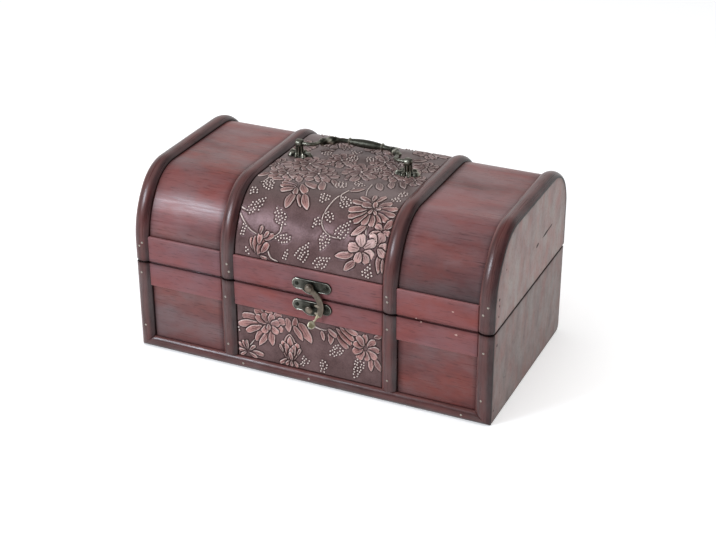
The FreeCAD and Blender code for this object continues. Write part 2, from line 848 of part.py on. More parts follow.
outer = size.hingeWidth / 2
middle = knuckle / 2
gapEdge = middle + size.knuckleGap
screws = {"base": [], "lid": []}
for name, side in sides.items():
    centre = (half - size.hingeInset) * side
    hinge_leaf(
        f"hinge_base_leaf_{name}", centre, -1, (-outer, gapEdge),
        ((-outer, -size.leafHeight), (outer, -size.leafHeight), (outer, 0), (gapEdge, 0),
         (gapEdge, -leafRoom), (-gapEdge, -leafRoom), (-gapEdge, 0), (-outer, 0),
         (-outer, -size.leafHeight)))
    hinge_leaf(
        f"hinge_lid_leaf_{name}", centre, 1, (-middle,),
        ((-outer, size.leafHeight), (-outer, leafRoom), (-middle, leafRoom), (-middle, 0), (middle, 0),
         (middle, leafRoom), (outer, leafRoom), (outer, size.leafHeight), (-outer, size.leafHeight)))
    hingePin = new_body(f"hinge_pin_{name}")
    pinSketch = sketch_on(
        hingePin, "YZ_Plane", f"hinge_pin_{name}_sketch", (barrelY, hingeLine, centre - outer))
    circle(pinSketch, (0, 0), size.hingePinRadius)
    pad(hingePin, pinSketch, size.hingeWidth)
    keep(hingePin)
    for bodyName, way in (("base", -1), ("lid", 1)):
        for end in sides.values():
            spotHeight = hingeLine + (size.leafHeight - size.hingeScrewInset) * way
            screws[bodyName].append(pin(
                f"hinge_{bodyName}_screw_{len(screws[bodyName])}", "Y",
                (centre + size.hingeScrewPlace * end, back, spotHeight), size.leafThickness, 1))
for bodyName, members in screws.items():
    keep(group(f"hinge_{bodyName}_screws", members))


# Build, check and write every piece

doc.recompute()
faults = [thing.Label for thing in doc.Objects if {"Invalid", "Error"} & set(thing.State)]
if faults:
    raise RuntimeError(f"these objects failed: {faults}")
for name, thing in nodes.items():
    if thing.Shape.isNull() or not thing.Shape.isValid() or not thing.Shape.Solids:
        raise RuntimeError(f"{name} has no valid solid")

os.makedirs("parts", exist_ok=True)
for name, thing in nodes.items():
    thing.Shape.exportStep(f"parts/{name}.step")
    box = thing.Shape.BoundBox
    print(f"{name}: {len(thing.Shape.Solids)} solids, {thing.Shape.Volume:.1f} mm3, "
          f"x {box.XMin:.2f} {box.XMax:.2f} y {box.YMin:.2f} {box.YMax:.2f} z {box.ZMin:.2f} {box.ZMax:.2f}")
print(len(nodes), "nodes")
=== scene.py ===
# A small domed treasure chest: stained wood, embossed leather cloth and antique bronze on its CAD frame.
import math

import bpy
import numpy as np
from mathutils import Matrix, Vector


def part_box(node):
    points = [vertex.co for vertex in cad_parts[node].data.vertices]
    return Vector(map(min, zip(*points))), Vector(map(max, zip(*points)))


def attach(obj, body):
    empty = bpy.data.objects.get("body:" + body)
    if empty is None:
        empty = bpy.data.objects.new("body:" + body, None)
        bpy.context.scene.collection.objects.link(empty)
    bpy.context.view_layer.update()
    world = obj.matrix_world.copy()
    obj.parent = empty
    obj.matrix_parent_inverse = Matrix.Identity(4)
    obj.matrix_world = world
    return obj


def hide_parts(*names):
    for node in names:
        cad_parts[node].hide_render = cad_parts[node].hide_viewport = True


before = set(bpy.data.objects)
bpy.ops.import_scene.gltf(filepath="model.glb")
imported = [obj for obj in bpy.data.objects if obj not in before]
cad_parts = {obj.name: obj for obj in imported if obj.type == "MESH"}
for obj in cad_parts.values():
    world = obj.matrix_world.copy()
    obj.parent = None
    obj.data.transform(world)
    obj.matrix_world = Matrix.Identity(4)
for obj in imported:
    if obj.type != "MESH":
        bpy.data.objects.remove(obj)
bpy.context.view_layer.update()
mm = 0.001


# Small tools

axisX, axisY, axisZ = 0, 1, 2
quarterTurn = math.pi / 2
edgeTurn = np.linspace(0, quarterTurn, 5)                      # the steps round a small rounded edge
creaseAngle = math.radians(38)


def linear(hexCode):
    # sRGB hex to linear red, green, blue, alpha
    parts = [int(hexCode[k:k + 2], 16) / 255 for k in (1, 3, 5)]
    return (*[c / 12.92 if c <= 0.04045 else ((c + 0.055) / 1.055) ** 2.4 for c in parts], 1.0)


def fill(tree, node, inputs):
    # a node's inputs: a socket is linked, a value is set
    for name, value in inputs.items():
        if isinstance(value, bpy.types.NodeSocket):
            tree.links.new(value, node.inputs[name])
        else:
            node.inputs[name].default_value = value


def addNode(tree, kind, inputs=None, stops=(), **settings):
    # one shader node with its settings, its inputs and any ramp stops
    node = tree.nodes.new("ShaderNode" + kind)
    for name, value in settings.items():
        setattr(node, name, value)
    fill(tree, node, inputs or {})
    for k, (place, colour) in enumerate(stops):
        stop = node.color_ramp.elements[k] if k < 2 else node.color_ramp.elements.new(place)
        stop.position = place
        stop.color = colour
    return node


def newMaterial(name):
    # a material with its node tree and its shader
    material = bpy.data.materials.new(name)
    material.use_nodes = True
    return material, material.node_tree, material.node_tree.nodes["Principled BSDF"]


def span(node):
    # lowest and highest corner of a CAD node, in millimetres
    low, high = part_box(node)
    return np.array(low) / mm, np.array(high) / mm


def extent(node, axis):
    # where a CAD node starts and ends along one axis, in millimetres
    return [corner[axis] for corner in span(node)]


def ease(amount):
    # smooth step from 0 to 1: a squared times (3 - 2 a)
    amount = np.clip(amount, 0, 1)
    return amount * amount * (3 - 2 * amount)


def bell(distance, width):
    # 1 at no distance, falling off on both sides by the exponential of minus its square
    return np.exp(-(distance / width) ** 2)


def blendTo(old, new, share):
    # straight from old at a share of 0 to new at a share of 1
    return old + (new - old) * share


def circle(turn):
    # points of a unit circle: the cosine and sine of each turn
    return np.stack([np.cos(turn), np.sin(turn)], -1)


def roundTurns(count):
    # even turns once round, without the last one, which would fall on the first
    return np.linspace(0, 2 * math.pi, count, endpoint=False)


def arcRadius(halfChord, rise):
    # the circle that rises so far over half its chord: their squares added, over twice the rise
    return (halfChord ** 2 + rise ** 2) / (2 * rise)


def shares(length, step, least):
    # even shares from 0 to 1 in a column, about a step apart over the length, in at least so many parts
    return np.linspace(0, 1, max(least, round(length / step)) + 1)[:, None]


def runAlong(line):
    # the run from a line's start to each of its points: the lengths between them added up
    return np.append(0, np.cumsum(np.linalg.norm(np.diff(line, axis=0), axis=1)))


def atRun(places, run, line):
    # the points of a flat line at given runs along it, straight between its own points
    return np.stack([np.interp(places, run, line[:, k]) for k in (0, 1)], 1)


def squareTo(line):
    # the unit direction square to a flat line at each of its points
    way = np.gradient(line, axis=0)
    way /= np.linalg.norm(way, axis=1)[:, None]
    return np.stack([-way[:, 1], way[:, 0]], 1)


def withX(x, flat):
    # a grid of points from X and a grid of Y and Z
    return np.concatenate([np.broadcast_to(x, flat.shape[:2])[..., None], flat], 2)


def fineEnds(low, high, edge, step):
    # places from low to high: close together inside the rounded edge at both ends, about a step apart between
    turn = edge * (1 - np.cos(edgeTurn))
    middle = np.linspace(low + edge, high - edge, max(2, round((high - low) / step)) + 1)
    return np.concatenate([low + turn[:-1], middle, high - turn[-2::-1]])


def roundDrop(distance, edge):
    # how far a rounded edge has fallen at a distance in from the border: a quarter circle
    return edge - np.sqrt(np.clip(edge ** 2 - np.clip(edge - distance, 0, edge) ** 2, 0, None))


def gridFaces(rows, cols, wrap=False):
    # quads between neighbours of a grid, with the last column joined to the first where it wraps
    r = np.arange(rows - 1)[:, None] * cols
    c = np.arange(cols if wrap else cols - 1)
    after = (c + 1) % cols
    return np.stack([r + c, r + after, r + cols + after, r + cols + c], -1).reshape(-1, 4)


def gridBorder(rows, cols):
    # the numbers of a grid's outermost points, once round
    index = np.arange(rows * cols).reshape(rows, cols)
    return np.concatenate([index[0, :-1], index[:-1, -1], index[-1, :0:-1], index[:0:-1, 0]])


def tube(rings, **values):
    # closed rings of points one after the other, with a pole at the middle of the first and last ring
    rows, cols = rings.shape[:2]
    points = np.concatenate([rings.reshape(-1, 3), rings[[0, -1]].mean(1)])
    here = np.arange(cols)
    after = (here + 1) % cols
    last = (rows - 1) * cols
    ends = [np.stack([np.full(cols, rows * cols), after, here], 1),
            np.stack([np.full(cols, rows * cols + 1), last + here, last + after], 1)]
    layers = {name: np.append(np.broadcast_to(value, (rows, cols)), np.full(2, np.mean(value)))
              for name, value in values.items()}
    return {"points": points, "faces": [gridFaces(rows, cols, True), *ends], "layers": layers}


def loop(rings, **values):
    # closed rings carried round a closed path, as on an eye
    rows, cols = rings.shape[:2]
    quads = gridFaces(rows + 1, cols, True) % (rows * cols)
    layers = {name: np.broadcast_to(value, (rows, cols)).ravel() for name, value in values.items()}
    return {"points": rings.reshape(-1, 3), "faces": [quads], "layers": layers}


def slab(over, under, **values):
    # two grids of the same size, face to face, joined by a wall round their border; values are for the first
    rows, cols = over.shape[:2]
    count = rows * cols
    rim = gridBorder(rows, cols)
    nextRim = np.roll(rim, -1)
    wall = np.stack([rim, rim + count, nextRim + count, nextRim], 1)
    quads = gridFaces(rows, cols)
    layers = {name: np.append(np.broadcast_to(value, (rows, cols)), np.zeros(count))
              for name, value in values.items()}
    return {"points": np.concatenate([over.reshape(-1, 3), under.reshape(-1, 3)]),
            "faces": [quads, quads[:, ::-1] + count, wall], "layers": layers}


def spun(centre, axis, radii, heights, turns=40, lobes=0, depth=0):
    # a profile of radii and heights spun about an axis through the centre, with optional flutes round it
    axis = np.array(axis, float)
    side = np.cross(axis, [0.3, 0.5, 0.8])                     # any direction that isn't the axis
    side /= np.linalg.norm(side)
    other = np.cross(axis, side)
    angle = roundTurns(turns)
    ripple = 1 + depth * np.cos(lobes * angle)
    rim = np.cos(angle)[:, None] * side + np.sin(angle)[:, None] * other
    radii, heights = np.asarray(radii, float), np.asarray(heights, float)
    return centre + radii[:, None, None] * (rim * ripple[:, None]) + heights[:, None, None] * axis


def outward(shell):
    # turns a closed shell the right way round: its signed volume, summed over its triangles, is positive
    volume = 0
    for faces in shell["faces"]:
        corners = shell["points"][faces]
        for k in range(1, faces.shape[1] - 1):
            volume += np.einsum("ij,ij->", corners[:, 0], np.cross(corners[:, k], corners[:, k + 1]))
    return shell["faces"] if volume > 0 else [faces[:, ::-1] for faces in shell["faces"]]


def piece(name, shells, body, slot, material, *nodes):
    # one object of closed shells given in millimetres, riding on a body and standing for CAD nodes
    start = 0
    points, faces, layers = [], [], {}
    for shell in shells:
        points.append(shell["points"] * mm)
        for group in outward(shell):
            faces.extend((group + start).tolist())
        for key, value in shell["layers"].items():
            layers.setdefault(key, []).append((start, value))
        start += len(shell["points"])
    mesh = bpy.data.meshes.new(name)
    mesh.from_pydata(np.concatenate(points).tolist(), [], faces)
    mesh.polygons.foreach_set("use_smooth", np.ones(len(mesh.polygons), bool))
    for key, parts in layers.items():
        values = np.zeros(start, np.float32)
        for first, value in parts:
            values[first:first + len(value)] = value
        mesh.attributes.new(key, "FLOAT", "POINT").data.foreach_set("value", values)
    mesh.update()
    mesh.set_sharp_from_angle(angle=creaseAngle)
    mesh.materials.append(material)
    thing = bpy.data.objects.new(name, mesh)
    bpy.context.scene.collection.objects.link(thing)
    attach(thing, body)
    if nodes:
        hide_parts(*nodes)


# Materials

rangeSockets = ("Value", "From Min", "From Max", "To Min", "To Max")

# edges are the noise levels between which a layer comes in, most and least its shares, heights in mm
wood = {"ior": 1.5, "detail": 4.0, "noiseRoughness": 0.6, "streakShare": 0.27, "toneStops": (0.34, 0.66, 0.5),
        "patchEdges": (0.42, 0.66), "redMost": 0.8, "poreEdges": (0.44, 0.30), "poreMost": 0.45,
        "glossEdges": (0.3, 0.7), "smoother": 0.06, "rougher": 0.10, "dullLeast": 0.1,
        "lacquerEdges": (0.36, 0.64), "lacquerThin": 0.72, "lacquerThick": 1.28,
        "poreRelief": 0.4, "bump": 0.4, "bumpHeight": 0.14}
# keeps the layers of the grain from lining up
patternOffsets = {"cloud": 3.1, "blush": 11.7, "haze": 7.3, "streak": 5.3, "pore": 8.9}


def stainedWood(name, tones, along, grain, roughness, haze, sheen, bent=False):
    # Basswood boards, stained cherry and wiped, under thin satin lacquer: cloudy red and grey patches, faint
    # streaks along the grain, short dark pores, stain gathered dark and dull at the joints and worn pale on
    # the edges. The dark layer also carries painted shade, the grey layer a painted sheen, and the pale layer
    # painted highlights, where a piece asks for them.
    material, tree, shader = newMaterial(name)
    place = addNode(tree, "TexCoord").outputs["Object"]
    own = {key: addNode(tree, "Attribute", attribute_name=key).outputs["Fac"] for key in (
        "stain", "wear", "faded", *(("across", "run") if bent else ()))}
    if bent:                                                                 # the grain follows the strip
        place = addNode(tree, "CombineXYZ", {"X": own["across"], "Z": own["run"]}).outputs[0]
    noise = {}
    for layer, (length, width) in grain.items():
        scale = [1 / (width * mm)] * 3
        scale[along] = 1 / (length * mm)
        turned = addNode(tree, "Mapping", {
            "Vector": place, "Location": [patternOffsets[layer]] * 3, "Scale": scale}).outputs[0]
        noise[layer] = addNode(tree, "TexNoise", {
            "Vector": turned, "Scale": 1.0, "Detail": wood["detail"],
            "Roughness": wood["noiseRoughness"]}).outputs[0]
    ranges = {
        "red": (noise["blush"], *wood["patchEdges"], 0.0, wood["redMost"]),
        "grey": (noise["haze"], *wood["patchEdges"], 0.0, haze),
        "pores": (noise["pore"], *wood["poreEdges"], 0.0, wood["poreMost"]),
        "gloss": (noise["streak"], *wood["glossEdges"],
                  roughness - wood["smoother"], roughness + wood["rougher"]),
        "dull": (own["stain"], 0.0, 1.0, 1.0, wood["dullLeast"]),
        "lacquer": (noise["haze"], *wood["lacquerEdges"],
                    wood["lacquerThin"] * sheen, wood["lacquerThick"] * sheen)}
    part = {key: addNode(tree, "MapRange", dict(zip(rangeSockets, row))).outputs[0]
            for key, row in ranges.items()}
    # the random grey patches, with the painted grey sheen added
    greyed = addNode(tree, "Math", {
        0: part["grey"], 1: own["faded"]}, operation="ADD", use_clamp=True).outputs[0]
    # pale wear, which on the lid and the ribs also carries painted highlights
    worn = addNode(tree, "Math", {0: own["wear"], 1: noise["streak"]}, operation="MULTIPLY").outputs[0]
    mixed = addNode(tree, "Mix", {
        "Factor": wood["streakShare"], "A": noise["cloud"],
        "B": noise["streak"]}, data_type="FLOAT").outputs[0]
    colour = addNode(tree, "ValToRGB", {"Fac": mixed}, stops=[
        (stop, linear(tones[tone])) for stop, tone in zip(wood["toneStops"], ("deep", "pale", "main"))
    ]).outputs[0]
    # the stain layer darkens to the joint tone; it also carries painted shade
    for share, tone in ((part["red"], "blush"), (greyed, "haze"), (part["pores"], "joint"), (worn, "worn"),
                        (own["stain"], "joint")):
        colour = addNode(tree, "Mix", {
            "Factor": share, "A": colour, "B": linear(tones[tone])}, data_type="RGBA").outputs[2]
    shine = addNode(tree, "Math", {0: part["lacquer"], 1: part["dull"]}, operation="MULTIPLY").outputs[0]
    relief = addNode(tree, "Mix", {
        "Factor": wood["poreRelief"], "A": noise["streak"], "B": noise["pore"]}, data_type="FLOAT").outputs[0]
    bump = addNode(tree, "Bump", {
        "Height": relief, "Strength": wood["bump"], "Distance": wood["bumpHeight"] * mm}).outputs[0]
    fill(tree, shader, {"Base Color": colour, "Roughness": part["gloss"], "Specular IOR Level": shine,
                        "Normal": bump, "IOR": wood["ior"]})
    return material


# sizes in mm; a real pebble is about 0.5 across and is drawn coarser to show
cloth = {"ior": 1.5, "pebble": 0.9, "cloud": 14, "speck": 0.8, "speckShare": 0.5, "groundStops": (0.30, 0.72),
         "copperStops": (0.34, 0.66), "bareGloss": 0.37, "copperGloss": 0.32, "waxEdges": (0.38, 0.62),
         "waxThin": 0.25, "waxThick": 0.75, "bump": 0.25, "bumpHeight": 0.15}


def embossedLeather(name, tones):
    # Embossed leather cloth: a plum-brown skin with fine pebble grain, copper wax rubbed over the raised
    # flowers, a grey tone on the flat top for dust and a painted sheen, cream on the fine raised lines and
    # beads, and dark wash left in the grooves
    material, tree, shader = newMaterial(name)
    place = addNode(tree, "TexCoord").outputs["Object"]
    scale = {key: 1 / (cloth[key] * mm) for key in ("pebble", "cloud", "speck")}
    layer = {key: addNode(tree, "Attribute", attribute_name=key).outputs["Fac"]
             for key in ("copper", "dust", "cream", "groove")}
    pebble = addNode(tree, "TexVoronoi", {"Vector": place, "Scale": scale["pebble"]}).outputs["Distance"]
    cloud = addNode(tree, "TexNoise", {
        "Vector": place, "Scale": scale["cloud"], "Detail": 5.0, "Roughness": 0.65}).outputs[0]
    speck = addNode(tree, "TexNoise", {"Vector": place, "Scale": scale["speck"], "Detail": 3.0}).outputs[0]
    mottle = addNode(tree, "Mix", {
        "Factor": cloth["speckShare"], "A": cloud, "B": speck}, data_type="FLOAT").outputs[0]
    colour, rubbed = [addNode(tree, "ValToRGB", {"Fac": mottle}, stops=[
        (stop, linear(tones[key + depth])) for stop, depth in zip(cloth[key + "Stops"], ("Deep", "Pale"))
    ]).outputs[0] for key in ("ground", "copper")]
    for key, share in layer.items():
        tone = rubbed if key == "copper" else linear(tones[key])
        colour = addNode(tree, "Mix", {"Factor": share, "A": colour, "B": tone}, data_type="RGBA").outputs[2]
    ranges = ((layer["copper"], 0.0, 1.0, cloth["bareGloss"], cloth["copperGloss"]),
              (cloud, *cloth["waxEdges"], cloth["waxThin"], cloth["waxThick"]))
    gloss, wax = (addNode(tree, "MapRange", dict(zip(rangeSockets, row))).outputs[0] for row in ranges)
    bump = addNode(tree, "Bump", {
        "Height": pebble, "Strength": cloth["bump"], "Distance": cloth["bumpHeight"] * mm}).outputs[0]
    fill(tree, shader, {"Base Color": colour, "Roughness": gloss, "Specular IOR Level": wax, "Normal": bump,
                        "Specular Tint": linear(tones["wax"]), "IOR": cloth["ior"]})
    return material


casting = {"patch": 2.4, "pit": 0.5, "patchShare": 0.7, "toneStops": (0.05, 0.95, 0.5), "duller": 0.14,
           "brighter": 0.06, "bump": 0.3, "bumpHeight": 0.08, "metallic": 0.9}                  # sizes in mm


def antiqueBronze(name, tones, roughness):
    # Cast zinc with an antique bronze plate: dark green-black patina in the hollows, brass where hands rub,
    # small casting pits and a soft uneven polish; the rubbed layer also carries a painted sheen where a piece
    # asks for it
    material, tree, shader = newMaterial(name)
    place = addNode(tree, "TexCoord").outputs["Object"]
    patch = addNode(tree, "TexNoise", {
        "Vector": place, "Scale": 1 / (casting["patch"] * mm), "Detail": 5.0, "Roughness": 0.7}).outputs[0]
    pits = addNode(tree, "TexNoise", {
        "Vector": place, "Scale": 1 / (casting["pit"] * mm), "Detail": 2.0}).outputs[0]
    rub = addNode(tree, "Attribute", attribute_name="rub").outputs["Fac"]
    spread = addNode(tree, "Math", {0: patch, 1: -0.5}, operation="ADD").outputs[0]
    worn = addNode(tree, "Math", {
        0: spread, 1: casting["patchShare"], 2: rub}, operation="MULTIPLY_ADD", use_clamp=True).outputs[0]
    colour = addNode(tree, "ValToRGB", {"Fac": worn}, stops=[
        (stop, linear(tones[tone]))
        for stop, tone in zip(casting["toneStops"], ("patina", "bright", "bronze"))]).outputs[0]
    gloss = addNode(tree, "MapRange", dict(zip(rangeSockets, (
        worn, 0.0, 1.0, roughness + casting["duller"], roughness - casting["brighter"])))).outputs[0]
    bump = addNode(tree, "Bump", {
        "Height": pits, "Strength": casting["bump"], "Distance": casting["bumpHeight"] * mm}).outputs[0]
    fill(tree, shader, {"Base Color": colour, "Roughness": gloss, "Normal": bump,
                        "Metallic": casting["metallic"]})
    return material


# length and width in mm of each layer of the grain; real pores are about 0.3 wide, drawn coarser to show
boardGrain = {"cloud": (60, 28), "blush": (42, 22), "haze": (34, 18), "streak": (26, 1.2), "pore": (8, 0.95)}
ribGrain = {"cloud": (30, 10), "blush": (24, 9), "haze": (22, 9), "streak": (30, 1.4), "pore": (8, 0.9)}
endGrain = {"cloud": (20, 12), "blush": (24, 10), "haze": (15, 9), "streak": (5, 1.5), "pore": (2, 1.1)}
panelTones = {"deep": "#4f2e2c", "main": "#6f3f3e", "pale": "#80504e", "blush": "#87423a", "haze": "#726062",
              "worn": "#a0767a", "joint": "#190d0f"}
bandTones = {"deep": "#663b3b", "main": "#7a4545", "pale": "#885252", "blush": "#8d4842", "haze": "#7c6067",
             "worn": "#ab7e7c", "joint": "#190c0e"}
ribTones = {"deep": "#271516", "main": "#342021", "pale": "#432c2d", "blush": "#4d2626", "haze": "#3f3031",
            "worn": "#8f5a54", "joint": "#0d0607"}
# base and lid ends share one wood in two tones: the lid's lighter copy and the base's darker one are painted
# light and shade, for the upper ends catching more of the bright surroundings
baseEndTones = {"deep": "#675350", "main": "#7b6764", "pale": "#8b7a76", "blush": "#8b635d",
                "haze": "#837b75", "worn": "#a89088", "joint": "#1e1414"}
lidEndTones = {"deep": "#7d6765", "main": "#947d7a", "pale": "#a3918d", "blush": "#a2746e", "haze": "#9c948d",
               "worn": "#b09a92", "joint": "#1e1414"}
innerTones = {"deep": "#6d4434", "main": "#8a5c46", "pale": "#a3755a", "blush": "#8f5a42", "haze": "#94705c",
              "worn": "#b58a70", "joint": "#2c1a14"}
fillerTones = {"deep": "#241818", "main": "#33201f", "pale": "#402c2a", "blush": "#3c2422", "haze": "#453634",
               "worn": "#5a4844", "joint": "#140c0c"}
bareTones = {"deep": "#b08f86", "main": "#c9aca2", "pale": "#dcc6bc", "blush": "#c49c90", "haze": "#cfc0b8",
             "worn": "#e6d8ce", "joint": "#5a403a"}
leatherTones = {"groundDeep": "#4a3837", "groundPale": "#6a5250", "copperDeep": "#8c5752",
                "copperPale": "#d8a69d", "dust": "#625d5a", "cream": "#f6e6de", "groove": "#240f0e",
                "wax": "#f2ccd0"}
bronzeTones = {"patina": "#2e2e27", "bronze": "#6a695e", "bright": "#c8c5b5"}
plateTones = {"patina": "#2a2a24", "bronze": "#63625b", "bright": "#d8d5c8"}
hookTones = {"patina": "#453e36", "bronze": "#766c60", "bright": "#a79f8e"}
tabTones = {"patina": "#857b60", "bronze": "#c9bf9f", "bright": "#fffaee"}
nailTones = {"patina": "#7c736a", "bronze": "#a89f94", "bright": "#d4cdc1"}

panelWood = stainedWood(
    "cherry_stained_panel", panelTones, axisX, boardGrain, roughness=0.31, haze=0.45, sheen=0.38)
bandWood = stainedWood(
    "cherry_stained_band", bandTones, axisX, boardGrain, roughness=0.46, haze=0.35, sheen=0.3)
baseEndWood, lidEndWood = (
    stainedWood(f"cherry_stained_{name}_end", tones, axisZ, endGrain, roughness=0.42, haze=0.55, sheen=0.3)
    for name, tones in (("base", baseEndTones), ("lid", lidEndTones)))
ribWood = stainedWood(
    "walnut_stained_rib", ribTones, axisZ, ribGrain, roughness=0.28, haze=0.4, sheen=0.4, bent=True)
innerWood = stainedWood(
    "wiped_inner_wood", innerTones, axisX, boardGrain, roughness=0.55, haze=0.2, sheen=0.3)
fillerWood, bareWood = (
    stainedWood(name, tones, axisX, boardGrain, roughness=0.6, haze=0.2, sheen=0.2)
    for name, tones in (("dark_wood_filler", fillerTones), ("chipped_bare_wood", bareTones)))
leather = embossedLeather("embossed_leather_cloth", leatherTones)
bronze = antiqueBronze("antique_bronze_casting", bronzeTones, roughness=0.36)
plateBronze = antiqueBronze("dark_bronze_plate", plateTones, roughness=0.34)
hookBronze = antiqueBronze("brown_bronze_hook", hookTones, roughness=0.36)
tabBrass = antiqueBronze("rubbed_brass_tab", tabTones, roughness=0.34)
nailSteel = antiqueBronze("nail_heads", nailTones, roughness=0.45)
print("materials ready")


# The main lines of the chest, read from its CAD nodes

ribNames = ("end_left", "inner_left", "inner_right", "end_right")
frontFace = extent("base_front_panel", axisY)[0]
backFace = extent("base_right_end", axisY)[1]
halfWidth = extent("base_right_end", axisX)[1]
splitLine = extent("base_front_panel", axisZ)[1]
lidFoot = extent("lid_front_panel", axisZ)[0]
lidTop = extent("lid_top_panel", axisZ)[1]
frontJoint, backJoint = extent("lid_top_panel", axisY)
ribCentres = [np.mean(extent(f"lid_rib_{name}", axisX)) for name in ribNames]
ribHalf = np.ptp(extent("lid_rib_inner_left", axisX)) / 2
ribCrown = frontFace - extent("base_rib_inner_left", axisY)[0]
mouldHeight = extent("base_foot_moulding", axisZ)[1]

dome = {"straight": 12.1, "setback": 6.0}            # mm of rise before the bend, and the front arcs' setback
bendStart = lidFoot + dome["straight"]
bendRise = lidTop - bendStart
frontRun = frontJoint - frontFace
highRadius = frontRun - dome["setback"]
lowRadius = (frontRun ** 2 + bendRise ** 2 - 2 * bendRise * highRadius) / (2 * dome["setback"])
backRadius = backFace - backJoint


def domePath(lift, step):
    # the profile of the lid from its front foot to its back foot: straight, low arc, high arc, flat, back
    # arc, straight; each point is given with its normal and its run, and lift moves it out along the normal
    lowCentre = np.array([frontFace + lowRadius, bendStart])
    highCentre = np.array([frontJoint, lidTop - highRadius])
    backCentre = np.array([backJoint, lidTop - backRadius])
    meeting = math.atan2(*(highCentre - lowCentre)[::-1])
    forward, up, backward = math.pi, quarterTurn, 0                          # turns of the normal
    stretches = [
        ((frontFace, lidFoot), (frontFace, bendStart), forward, forward),
        (lowCentre, lowRadius, forward, meeting),
        (highCentre, highRadius, meeting, up),
        ((frontJoint, lidTop), (backJoint, lidTop), up, up),
        (backCentre, backRadius, up, backward),
        ((backFace, lidTop - backRadius), (backFace, lidFoot), backward, backward)]
    points, normals = [], []
    for first, second, startTurn, endTurn in stretches:
        arc = np.isscalar(second)
        length = abs(startTurn - endTurn) * second if arc else np.linalg.norm(np.subtract(second, first))
        share = shares(length, step, 3)[:-1]
        way = circle(blendTo(startTurn, endTurn, share[:, 0]))
        points.append(first + second * way if arc else first + np.subtract(second, first) * share)
        normals.append(way)
    points.append([[backFace, lidFoot]])
    normals.append([[1.0, 0.0]])
    normal = np.concatenate(normals)
    place = np.concatenate(points) + lift * normal
    return place, normal, runAlong(place)


# Painted light on the stained wood: a grey sheen in the left bays and shade in the split; shares and mm
ageing = {"faded": 0.25, "fadeStart": 20, "fadeReach": 60, "dirt": 0.9, "dirtReach": 0.5, "dirtDepth": 0.4}


def jointStain(x, half, reach):
    # how dark the stain has gathered: 1 against a rib, fading out over the reach
    gap = np.min([np.abs(x - centre) for centre in ribCentres], axis=0) - half
    return np.exp(-np.clip(gap, 0, None) / reach)


def fadedShare(x):
    # a painted grey sheen in the left bays: nothing in the middle, most at the left end
    return ageing["faded"] * ease((-ageing["fadeStart"] - x) / ageing["fadeReach"])


def splitStain(height, depth):
    # painted shade in the split between base and lid: most on either edge, fading out up and down by an
    # exponential, and over 1 mm of depth from the outside of the chest
    gap = np.minimum(np.abs(height - splitLine), np.abs(height - lidFoot))
    return ageing["dirt"] * np.exp(-gap / ageing["dirtReach"]) * (1 - ease(depth - ageing["dirtDepth"]))


# Boards of the base

board = {"edge": 0.7, "step": 4.0, "stain": 0.75, "stainReach": 1.6, "dust": 0.3, "dustReach": 9}


def boxRings(low, high, edge, step):
    # a rounded rectangle in Y and Z carried along X, drawn in at both ends by a quarter circle
    middle = (np.add(low, high) / 2)[1:]
    half = (np.subtract(high, low) / 2)[1:]
    corner = edge * circle(edgeTurn)
    bends = []
    for sy, sz in ((1, 1), (-1, 1), (-1, -1), (1, -1)):
        bend = corner if sy * sz > 0 else corner[::-1]
        bends.append((half - edge + bend) * (sy, sz))
    outline = []
    for bend, following in zip(bends, bends[1:] + bends[:1]):
        straight = following[0] - bend[-1]
        outline += [bend, bend[-1] + straight * shares(np.linalg.norm(straight), step, 2)[1:-1]]
    outline = np.concatenate(outline)
    x = fineEnds(low[0], high[0], edge, step)
    fall = roundDrop(np.minimum(x - low[0], high[0] - x), edge)
    size = (half - fall[:, None]) / half
    return withX(x[:, None], middle + outline * size[:, None, :])


def boardPiece(name, material):
    # a rounded board; on the front of the chest its stain is dark beside the ribs, and darker just over the
    # moulding, dirt with painted shade, both fading out by an exponential; the left bays get a painted grey
    # sheen
    rings = boxRings(*span(name), board["edge"], board["step"])
    x, y, z = np.moveaxis(rings, 2, 0)
    beside = board["stain"] * jointStain(x, ribHalf, board["stainReach"])
    dust = board["dust"] * np.exp(-np.clip(z - mouldHeight, 0, None) / board["dustReach"])
    stain = np.maximum(beside, dust) * (y < frontFace + board["edge"])
    shell = tube(rings, stain=stain, faded=fadedShare(x))
    piece(f"{name}_wood", [shell], "base", "panel_wood", material, name)


boardPiece("base_front_panel", panelWood)
boardPiece("base_bottom_panel", innerWood)

# rings of a face lie from the middle out to the last one inside, and then at the insets near the edge, in mm
endBoard = {"edge": 0.6, "step": 5.0, "lidStep": 3.0, "footRound": 4.0, "middle": 0.97, "lastInside": 7,
            "ringsInside": 8, "insets": (3.6, 2.0, 1.1), "line": 0.95, "lineReach": 0.95, "lineStart": 0.3,
            "soft": 0.2, "softReach": 3}


def faceRings(outline, low, high, edge):
    # a closed outline in Y and Z filled on both sides: rings grow from its middle, round the edge and shrink
    # again; given with how far inside the outline each ring lies
    centre = outline.mean(0)
    away = outline - centre
    reach = np.linalg.norm(away, axis=1).mean()
    flat = np.append(np.linspace(reach * endBoard["middle"], endBoard["lastInside"], endBoard["ringsInside"]),
                     endBoard["insets"])
    inset = np.append(flat, edge * (1 - np.sin(edgeTurn)))
    depth = np.append(0 * flat, edge * (1 - np.cos(edgeTurn)))
    size = 1 - inset / reach
    size = np.append(size, size[::-1])
    x = np.append(low + depth, high - depth[::-1])
    return withX(x[:, None], centre + away * size[:, None, None]), (1 - size) * reach


def baseOutline(nearEdge):
    # the side of the base: square at the front, rounded over at the lower back edge
    foot = endBoard["footRound"]
    bend = np.array([backFace - foot, foot]) + foot * circle(np.linspace(-quarterTurn, 0, 7))
    corners = np.concatenate([[[nearEdge, 0]], bend, [[backFace, splitLine], [nearEdge, splitLine]]])
    return np.concatenate([
        here + (there - here) * shares(np.linalg.norm(there - here), endBoard["step"], 1)[:-1]
        for here, there in zip(corners, np.roll(corners, -1, axis=0))])


